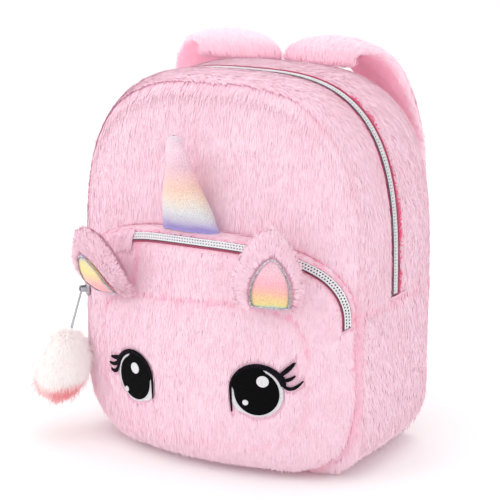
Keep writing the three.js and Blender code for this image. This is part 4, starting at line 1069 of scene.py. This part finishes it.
def make_eyes():
    for side, sign in SIDES:
        c = eye_centre(sign)
        angle = np.degrees(np.linspace(0, 2 * np.pi, 96, endpoint=False))
        from_outer = angle if sign > 0 else (180 - angle) % 360
        inner_corner = ease(178, 212, from_outer) * ease(246, 222, from_outer)
        under_lid = ease(64, 84, from_outer) * ease(182, 160, from_outer)
        stitched_disc("eye_white", side, "eye_white", c, EYE.width / 2, EYE.height / 2, eye_white,
                      "white", 1 + 0.12 * inner_corner)
        stitched_disc("eye_pupil", side, "eye_black", c, EYE.pupil_width / 2, EYE.pupil_height / 2,
                      eye_black, "pupil", 1.02 + 0.17 * under_lid)
        for name, places in GLINTS.items():
            across, up, radius = places[sign]
            stitched_disc(f"eye_glint_{name}", side, "eye_white", c + [across, up], radius, radius, eye_white,
                          "glint", rings=6, count=32)
        lines = Piece(f"lashes_stitching_{side}")
        t = np.linspace(0, 1, 110)
        stitch = 1 + 0.06 * np.sin(t * 300) * (t < 0.7)
        stroke(lines, lid_point(sign, lerp(*LID[sign], t)), lid_width(t) * stitch)
        t = np.linspace(0, 1, 24)
        for lash in LASHES[sign]:
            stroke(lines, lash_path(sign, lash, 24), lash[5] * np.sin(np.pi * (0.16 + 0.78 * t)) ** 0.7)
        lines.build("bag", "eye_black", f"lashes_{side}")


# Pocket
def wall_surface(stations, start, end, steps):
    """Part of the pocket's wall, from one share of the way to another at each station."""
    shares = lerp(np.asarray(start)[:, None], np.asarray(end)[:, None], np.linspace(0, 1, steps)[None, :])
    return Surface(wall_points(stations, shares), POCKET_INSIDE)


def brow_flow(place, along, v):
    return down(place, along, v) + [[0.15, -0.5, 0]]


def brow_fold_shade(place, u):
    """Painted shade of a soft fold beside the left ear."""
    fold = np.array(BROW_FOLD)
    line = np.stack([np.interp(np.linspace(0, 3, 30), range(4), fold[:, k]) for k in (0, 1)], 1)
    return lerp(0.5, 1, ease(0.3, 4, gap_to(place, line)))


def make_pocket():
    arch, lower = ARCH_STATIONS, LOWER_STATIONS
    zip_low = POCKET_ZIP.share - zip_share(arch, POCKET_ZIP.slit / 2)
    zip_high = POCKET_ZIP.share + zip_share(arch, POCKET_ZIP.slit / 2)

    def cover_zipper(brow):
        """Plush that closes over the zipper beside the left ear."""
        x = OUTER_WALL[0][arch][:, 0]
        over = np.where((x < ZIP_COVER[1]) & (x > ZIP_COVER[0]))[0]
        surface = wall_surface(arch[over], zip_low[over] - 0.05, zip_high[over] + 0.05, 10)
        surface.points = surface.points + surface.normal * 1.3
        skin(brow, surface, plush_ground)
        fur(brow, surface, 1800, 5.0, 0.8, brow_flow, SEED + 110, seams=NO_SEAMS)

    plush_piece("pocket_face", dished_surface(FACE_RING, FACE_CENTRE, face_y, POCKET_INSIDE), 0.7,
                count=38000, length=7.5, width=0.8, flow=down, seed=SEED + 80, avoid=stitched,
                seams=((4, 0.82), (0, 1)), lift=0.085)
    plush_piece("pocket_brow", wall_surface(arch, zip_high, np.ones(len(arch)), 24), 0.6, lip_at=0,
                lip_depth=3.5, more=cover_zipper, count=22000, length=6.5, width=0.8, flow=brow_flow,
                seed=SEED + 100, edges=(0.03, None), trim=(7, 0), seams=((2, 0.7), (3.5, 0.42)), lift=0.1,
                shade=brow_fold_shade)
    plush_piece("pocket_back_gusset", wall_surface(arch, np.zeros(len(arch)), zip_low, 14), 0.5, lip_at=-1,
                lip_depth=3.5, count=9000, length=6.0, width=0.8, flow=gusset_flow, seed=SEED + 120,
                edges=(None, 0.97), trim=(0, 6), seams=((5, 0.45), (3, 0.5)), lift=0.1, streak=(0.5, 1, 0.5))
    plush_piece("pocket_side_gusset", wall_surface(lower, np.zeros(len(lower)), np.ones(len(lower)), 34), 0.6,
                count=32000, length=7.5, width=0.9, flow=down, seed=SEED + 140,
                seams=((7, 0.4), (4, 0.8)), trim=(5, 0), lift=0.1)


# Horn
def make_horn():
    slit = POCKET_ZIP.share - zip_share(np.array([HALF]), POCKET_ZIP.slit / 2)[0]
    shelf = wall_points(np.array([HALF]), np.array([[0.0, slit]]))[0]
    base_y = (shelf[0, 1] + shelf[1, 1]) / 2
    base_z = OUTER_WALL[0][HALF][2] + HORN.base_gap
    up = np.linspace(-0.03, 1, 60)
    angle = np.linspace(0, 2 * np.pi, 56, endpoint=False)
    rows = []
    for s in up:
        t = max(s, 0.0)
        half_w = HORN.width / 2 * smooth_curve(HORN_UP, HORN_WIDTH, np.array([t]))[0]
        half_d = HORN.depth / 2 * smooth_curve(HORN_UP, HORN_DEPTH, np.array([t]))[0]
        x = HORN.across + half_w * np.cos(angle) + HORN.lean_sideways * s
        y = base_y + half_d * np.sin(angle) - HORN.lean_forward * t**0.8
        rows.append(xyz(x, y, base_z + HORN.height * s))
    surface = Surface(np.stack(rows, 1), (HORN.across, base_y, base_z + 20), wrap=True)
    vertices, quads, normals = surface.grid()
    heights = np.tile(np.clip(up, 0, 1), len(angle) + 1)
    wobble = ripple(vertices, 16, SEED + 160) * 0.35
    horn = Piece("satin_horn")
    horn.add(vertices + normals * wobble[:, None], quads, normals, horn_satin, heights)
    horn.build("bag", "satin", "horn")


# Ears
def ear_half(up):
    return EAR.width / 2 * smooth_curve(EAR_UP, EAR_WIDTH, up)


def ear_cup(x, up):
    """How far the ear's middle surface curves forward at a place across and a share of its height."""
    return EAR.cup * (x / (EAR.width / 2)) ** 2 * np.sin(np.pi * np.minimum(up + 0.12, 1))


def ear_bulge(x, up):
    """Half the ear's thickness at a place across and a share of its height."""
    share = np.minimum(np.abs(x) / ear_half(up), 1)
    return EAR.thick / 2 * smooth_curve(EAR_UP, EAR_THICK, up) * (1 - share**2.4) ** 0.7


def patch_half(up):
    return EAR.patch_width / 2 * smooth_curve(PATCH_UP, PATCH_WIDTH, np.clip(up, 0.02, 1))


def spin(axis, angle):
    c, s = math.cos(angle), math.sin(angle)
    return {"x": np.array([[1, 0, 0], [0, c, -s], [0, s, c]]),
            "y": np.array([[c, 0, s], [0, 1, 0], [-s, 0, c]]),
            "z": np.array([[c, -s, 0], [s, c, 0], [0, 0, 1]])}[axis]


def ear_frame(side):
    """The turn and the place of the ear's own frame. Its depth comes from the front of the CAD's ear."""
    across, above, turn, lean, nod = EAR_PLACES[side]
    power = POCKET.face_arch_power
    rise = (1 - abs(across) ** power) ** (1 / power)
    x, z = tilted([across * POCKET.face_width / 2,
                   lerp(POCKET.face_arch_start, POCKET.face_top, rise)])
    turned = spin("z", turn) @ spin("y", lean) @ spin("x", nod)
    share = np.tile(EAR_ACROSS, len(EAR_UP))
    up = np.repeat(EAR_UP, len(EAR_ACROSS))
    local = share * (EAR.width / 2 * np.interp(up, EAR_UP, EAR_WIDTH))
    thick = EAR.thick / 2 * np.interp(up, EAR_UP, EAR_THICK)
    front = -(thick * (1 - np.abs(share) ** 2.4) ** 0.7 + ear_cup(local, up))
    shape = xyz(local, front, EAR.height * up) @ turned.T
    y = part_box(f"ear_{side}")[0][1] / MM - shape[:, 1].min()
    return turned, np.array([x, y, z + above])


def make_ears():
    for side, _ in SIDES:
        make_ear(side, *ear_frame(side))


def make_ear(side, turned, place_of):
    widen, shift = EAR_PLUSH[side]
    share = np.concatenate([np.linspace(-1, 1, 34), np.linspace(1, -1, 34)[1:-1]])
    share = np.sign(share) * np.abs(share) ** 0.7
    in_front = np.arange(len(share)) < 34
    rows = []
    for s in np.linspace(0, 1, 44) ** 0.9:
        x = share * ear_half(np.full(len(share), s))
        bulge = ear_bulge(x, s)
        y = np.where(in_front, -bulge, bulge) - ear_cup(x, s)
        rows.append(xyz(x * widen + shift, y, EAR.height * s))
    points = np.stack(rows, 1) @ turned.T + place_of
    surface = Surface(points, turned @ [0, 0, EAR.height * 0.4] + place_of, wrap=True)

    def to_local(place):
        return (place - place_of) @ turned

    def on_patch(place, grow=0.4):
        flat = to_local(place)
        up = flat[:, 2] / EAR.patch_height
        ahead = flat[:, 1] < -ear_cup(flat[:, 0], np.clip(flat[:, 2] / EAR.height, 0, 1))
        return ahead & (np.abs(flat[:, 0]) < patch_half(up) + grow) & (up < 1 + grow / 30) & (up > -0.1)

    def ear_flow(place, along, v):
        """Outward from a point low on the ear."""
        flat = to_local(place)
        return xyz(flat[:, 0] * 0.9, 0, flat[:, 2] - 12) @ turned.T

    plush_piece(f"ear_{side}", surface, 0.8, skin_depth=1.4, count=13000, length=5.0, width=0.85,
                flow=ear_flow, seed=SEED + 180 + len(side), avoid=on_patch, seams=NO_SEAMS, lift=0.24,
                contrast=1.6, wander=0.16)
    make_ear_patch(side, turned, place_of)


def patch_point(side, share, up, lift):
    """A point on the ear's front: share across the patch, up from 0 to 1 over its height."""
    widen, shift = EAR_PLUSH[side]
    height = EAR.patch_height * up
    x = share * patch_half(up)
    level = height / EAR.height
    inner = (x - shift) / widen
    return xyz(x, -ear_bulge(inner, level) - ear_cup(inner, level) - lift, height)


def make_ear_patch(side, turned, place_of):
    patch = Piece(f"satin_ear_patch_{side}")
    up, share = np.meshgrid(np.concatenate([[0.02], np.linspace(0.03, 0.995, 40)]), np.linspace(-1, 1, 25),
                            indexing="ij")
    lift = 0.5 + 1.3 * (1 - np.abs(share) ** 6) * (1 - up**12)
    points = patch_point(side, share, up, lift) @ turned.T + place_of
    patch.add_surface(Surface(points, turned @ [0, 5.0, 20] + place_of), ear_satin[side], strand=up.ravel())

    up = np.concatenate([np.linspace(0.03, 0.99, 60), np.linspace(0.99, 0.03, 60), np.full(30, 0.03)])
    share = np.concatenate([np.full(60, 1.0), np.full(60, -1.0), np.linspace(-1, 1, 30)])
    edge = patch_point(side, share, up, 1.5)
    inner = patch_point(side, share * 0.86, np.clip(up * 0.95 + 0.025, 0.03, 1), 2.1)
    edge, inner = resample([edge, inner], BORDER_PITCH / 2)
    zigzag = np.where((np.arange(len(edge)) % 2 == 0)[:, None], edge, inner) @ turned.T + place_of
    fine = np.linspace(0, len(zigzag) - 1, (len(zigzag) - 1) * 2 + 1)
    path = np.stack([np.interp(fine, np.arange(len(zigzag)), zigzag[:, k]) for k in range(3)], 1)
    tube(patch, path, 0.42, silver_thread, 5)
    patch.build("bag", "satin", f"ear_patch_{side}")


def tube(piece, path, radius, material, sides):
    along = unit(np.gradient(path, axis=0))
    reference = np.where(np.abs(along[:, 2:3]) > 0.9, [[1.0, 0, 0]], [[0, 0, 1.0]])
    a = unit(np.cross(along, reference))
    b = np.cross(along, a)
    angle = np.linspace(0, 2 * np.pi, sides, endpoint=False)
    rows = [path + (a * math.cos(t) + b * math.sin(t)) * radius for t in angle]
    grid = np.stack(rows + rows[:1], 1)
    normals = unit(grid - path[:, None])
    quads = grid_quads(*grid.shape[:2])[:, ::-1]
    piece.add(grid.reshape(-1, 3), quads, normals.reshape(-1, 3), material)


# Straps
def catmull_rom(points, t):
    """Centripetal curve through points: positions and tangents at shares t of the route."""
    points = np.asarray(points, float)
    full = np.concatenate([[2 * points[0] - points[1]], points, [2 * points[-1] - points[-2]]])
    place = np.clip(t, 0, 1) * (len(points) - 1)
    k = np.minimum(place.astype(int), len(points) - 2)
    w = (place - k)[:, None]
    p0, p1, p2, p3 = (full[k + i] for i in range(4))
    d0, d1, d2 = (np.sqrt(np.linalg.norm(b - a, axis=1, keepdims=True))
                  for a, b in ((p0, p1), (p1, p2), (p2, p3)))
    m1 = ((p1 - p0) / d0 - (p2 - p0) / (d0 + d1) + (p2 - p1) / d1) * d1
    m2 = ((p2 - p1) / d1 - (p3 - p1) / (d1 + d2) + (p3 - p2) / d2) * d1
    position = ((2 * w**3 - 3 * w**2 + 1) * p1 + (w**3 - 2 * w**2 + w) * m1
                + (3 * w**2 - 2 * w**3) * p2 + (w**3 - w**2) * m2)
    tangent = (6 * w**2 - 6 * w) * (p1 - p2) + (3 * w**2 - 4 * w + 1) * m1 + (3 * w**2 - 2 * w) * m2
    return position, unit(tangent)


def band_surface(points, turns, steps, width_at, thick, power, count, crown=0.0):
    """A padded band along a route, and the route's directions. crown thickens its middle."""
    t = np.linspace(0, 1, steps)
    centre, along = catmull_rom(points, t)
    turn = np.interp(t * (len(points) - 1), np.arange(len(points)), turns)
    across = xyz(np.cos(turn), -np.sin(turn), 0)
    normal = unit(np.cross(along, across))
    angle = 2 * np.pi * (np.arange(count) + 0.5) / count
    c, s = np.cos(angle), np.sin(angle)
    x = np.sign(c) * np.abs(c) ** (2 / power)
    y = np.sign(s) * np.abs(s) ** (2 / power)
    end = np.minimum(ease(-0.02, 0.03, t), ease(1.0, 0.96, t) * 0.85 + 0.15)
    grid = (centre[:, None] + across[:, None] * (x[None, :] * width_at(t)[:, None] / 2)[..., None]
            + normal[:, None] * (y[None, :] * thick / 2 * (1 + crown * (1 - x**2)) * end[:, None])[..., None])
    surface = Surface(grid.transpose(1, 0, 2), (0, 0, 0), wrap=True)
    if np.sum(surface.normal * (surface.points - centre[None])) < 0:
        surface.normal = -surface.normal
    return surface, along


# Painted shade on the strap's inner side, which faces the bag; the tone elsewhere is raised a little.
def strap_underside_shade(place, u):
    return 1.05 - 0.55 * ease(0.0, 0.12, u) * ease(0.5, 0.4, u)


def make_straps():
    for side, sign in SIDES:
        points = [(sign * (a + SPLAY[side] * loose) * BAG.width / 2
                   + STRAP.drift * (1 - i / (len(STRAP_ROUTE) - 1)), b * BAG.depth, u * BAG.height)
                  for i, (a, b, u, _, loose) in enumerate(STRAP_ROUTE)]
        turns = [sign * math.radians(row[3]) for row in STRAP_ROUTE]
        surface, along = band_surface(
            points, turns, 80, lambda t: lerp(STRAP.width, STRAP.low_width, t), STRAP.thick, 2.5, 44,
            crown=0.55)

        def strap_flow(place, tangent, v):
            return along[np.clip((v * (len(along) - 1)).astype(int), 0, len(along) - 1)]
        top = points[4][2] - 20
        plush_piece(f"strap_{side}", surface, 0.6, count=32000, length=7.0, width=1.15, flow=strap_flow,
                    material=plush_painted_light, seed=SEED + 220 + sign, seams=NO_SEAMS, lift=0.09, wander=0.16,
                    shade=strap_underside_shade, density=lambda p: np.where(p[..., 2] > top, 2.5, 1.0))
        make_webbing(side, sign, points[-1], turns[-1])


def make_webbing(side, sign, strap_end, strap_turn):
    half, thick = STRAP.webbing / 2, STRAP.webbing_thick
    points, turns = [], []
    for across, off, up, turn in WEBBING_ROUTE:
        x, z = sign * across * BAG.width / 2, up * BAG.height
        panel = max(float(back_y(np.array([x + e * half]), np.array([z]))[0]) for e in (-1, 0, 1))
        points.append((x, panel + 0.4 + thick / 2 + off * BAG.depth, z))
        turns.append(sign * math.radians(turn))
    webbing = Piece(f"webbing_{side}")
    surface, _ = band_surface(points, turns, 44, lambda t: np.full(len(t), STRAP.webbing), thick, 8, 28)
    webbing.add_surface(surface, web_cloth)
    webbing.build("bag", "webbing", f"strap_webbing_{side}")

    holder = Piece(f"adjuster_{side}")
    ends = [lerp(np.array(strap_end), np.array(points[0]), s) for s in (0.02, 0.5, 0.98)]
    surface, _ = band_surface(
        ends, [strap_turn] * 3, 24, lambda t: ADJUSTER.width + ADJUSTER.swell * np.sin(np.pi * t),
        ADJUSTER.thick, 5, 40, crown=0.2)
    holder.add_surface(surface, web_cloth)
    row, _ = band_surface(ends, [strap_turn] * 3, 3, lambda t: np.full(len(t), ADJUSTER.thread_width),
                          ADJUSTER.thread_thick, 3, 40)
    for across in (0.25, 0.75):
        shift = (np.array(points[0]) - np.array(strap_end)) * (across - 0.5) * 0.7
        tube(holder, row.points[:20, 1] + shift, ADJUSTER.thread, coil_edge, 6)
    holder.build("bag", "webbing", f"strap_adjuster_{side}")


# Sliders, pull and pompom
joint = frame["joints"][0]
PIVOT = np.array(joint["pos_m"]) / MM
AXIS = unit(np.array(joint["axis"], float))
INWARD = np.array([AXIS[1], -AXIS[0], 0.0])


def hung(points, tilt=PULL.tilt):
    """Points of the pull's own frame, X towards the bag, Y along the pin and Z up the bar."""
    x = points[..., 0] * math.cos(tilt) + points[..., 2] * math.sin(tilt)
    z = -points[..., 0] * math.sin(tilt) + points[..., 2] * math.cos(tilt)
    return (PIVOT + x[..., None] * INWARD + points[..., 1][..., None] * AXIS
            + z[..., None] * np.array([0.0, 0.0, 1.0]))


def upright(points):
    return hung(points, 0.0)


def rounded_block(piece, centre, size, in_frame, power=4.0, rings=14, count=28):
    """A silver block with soft edges. in_frame turns its points into the bag's frame."""
    t = np.linspace(-np.pi / 2, np.pi / 2, rings)
    a = np.linspace(0, 2 * np.pi, count, endpoint=False)

    def bend(v):
        return np.sign(v) * np.abs(v) ** (2 / power)
    x = bend(np.cos(t))[:, None] * bend(np.cos(a))[None]
    y = bend(np.cos(t))[:, None] * bend(np.sin(a))[None]
    z = bend(np.sin(t))[:, None]
    local = xyz(x, y, z) * np.array(size) / 2 + np.array(centre)
    middle = in_frame(np.array([[centre]], float))[0, 0]
    piece.add_surface(Surface(in_frame(local).transpose(1, 0, 2), middle, wrap=True), silver)


def make_pocket_slider():
    slider = Piece("slider_on_pocket")
    rounded_block(slider, *SLIDER.body, upright)
    (x, y, z), size = SLIDER.cheek
    for s in (-1, 1):
        rounded_block(slider, (x, s * y, z), size, upright)
    pin = [[0, y, 0] for y in np.linspace(-SLIDER.pin_half, SLIDER.pin_half, 8)]
    tube(slider, upright(np.array(pin)), SLIDER.pin, silver, 12)
    slider.build("bag", "zipper_metal", "pocket_slider")


def make_pull_bar():
    """A ring on the slider's pin, and a flat bar that widens downwards."""
    bar = Piece("pull_bar_silver")
    a = np.linspace(0, 2 * np.pi, 33)
    ring = xyz(BAR.ring * np.cos(a), 0, BAR.ring * np.sin(a))
    tube(bar, hung(ring), BAR.ring_wire, silver, 10)
    t = np.linspace(0, 2 * np.pi, 24, endpoint=False)
    rows = []
    for s in np.linspace(0, 1, 30):
        half_y = lerp(BAR.half_top, BAR.half_low, s**1.2) * (1 if s < 0.99 else 0.6)
        rows.append(xyz(BAR.half_thick * np.cos(t), half_y * np.sin(t), -2.2 - (PULL.length - 2.4) * s))
    surface = Surface(hung(np.stack(rows, 1)), hung(np.array([0, 0, -15.0])), wrap=True)
    bar.add_surface(surface, silver)
    bar.build("pompom_pull", "zipper_metal", "pull_bar")


def make_pompom():
    ball = Piece("pompom_fur")
    middle = np.array([0, 0, -PULL.length - POMPOM.end_gap - POMPOM.height / 2])
    centre = hung(middle)
    half_w, half_h = POMPOM.width / 2 * POMPOM.core, POMPOM.height / 2 * POMPOM.core
    t = np.linspace(0.02, np.pi - 0.02, 40)[:, None]
    a = np.linspace(0, 2 * np.pi, 60, endpoint=False)[None]
    local = xyz(half_w * np.sin(t) * np.cos(a), half_w * np.sin(t) * np.sin(a), half_h * np.cos(t)) + middle
    core = Surface(hung(local).transpose(1, 0, 2), centre, wrap=True)
    skin(ball, core, pompom_ground, 0)

    def low_blush(place, u):
        return 1.2 - 1.05 * ease(2, -19, place[:, 2] - centre[2] + 4 * ripple(place, 14, 9))

    def droop(place, along, v):
        return ripple(place, 14, 5)[:, None] * along * 0.02 + np.array([[-0.15, 0, -1.0]])
    fur(ball, core, 29000, 7.5, 0.6, droop, SEED + 301, pompom_fur, lift=0.34, wander=0.22, seams=NO_SEAMS,
        shade=low_blush, stray=0.12)
    ball.build("pompom_pull", "pompom_fur", "pompom")


def make_main_slider():
    low, high = (np.array(c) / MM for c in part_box("main_slider"))
    middle, size = (low + high) / 2, high - low
    slider = Piece("slider_on_bag")
    rounded_block(slider, middle, size, np.asarray)
    rounded_block(slider, middle - [size[0] * 0.5, 0, 0], (1.6, 3.2, 8.5), np.asarray, 3)
    slider.build("bag", "zipper_metal", "main_slider")


make_bag()
make_zippers()
make_pocket()
make_eyes()
make_horn()
make_ears()
make_straps()
make_pocket_slider()
make_pull_bar()
make_pompom()
make_main_slider()
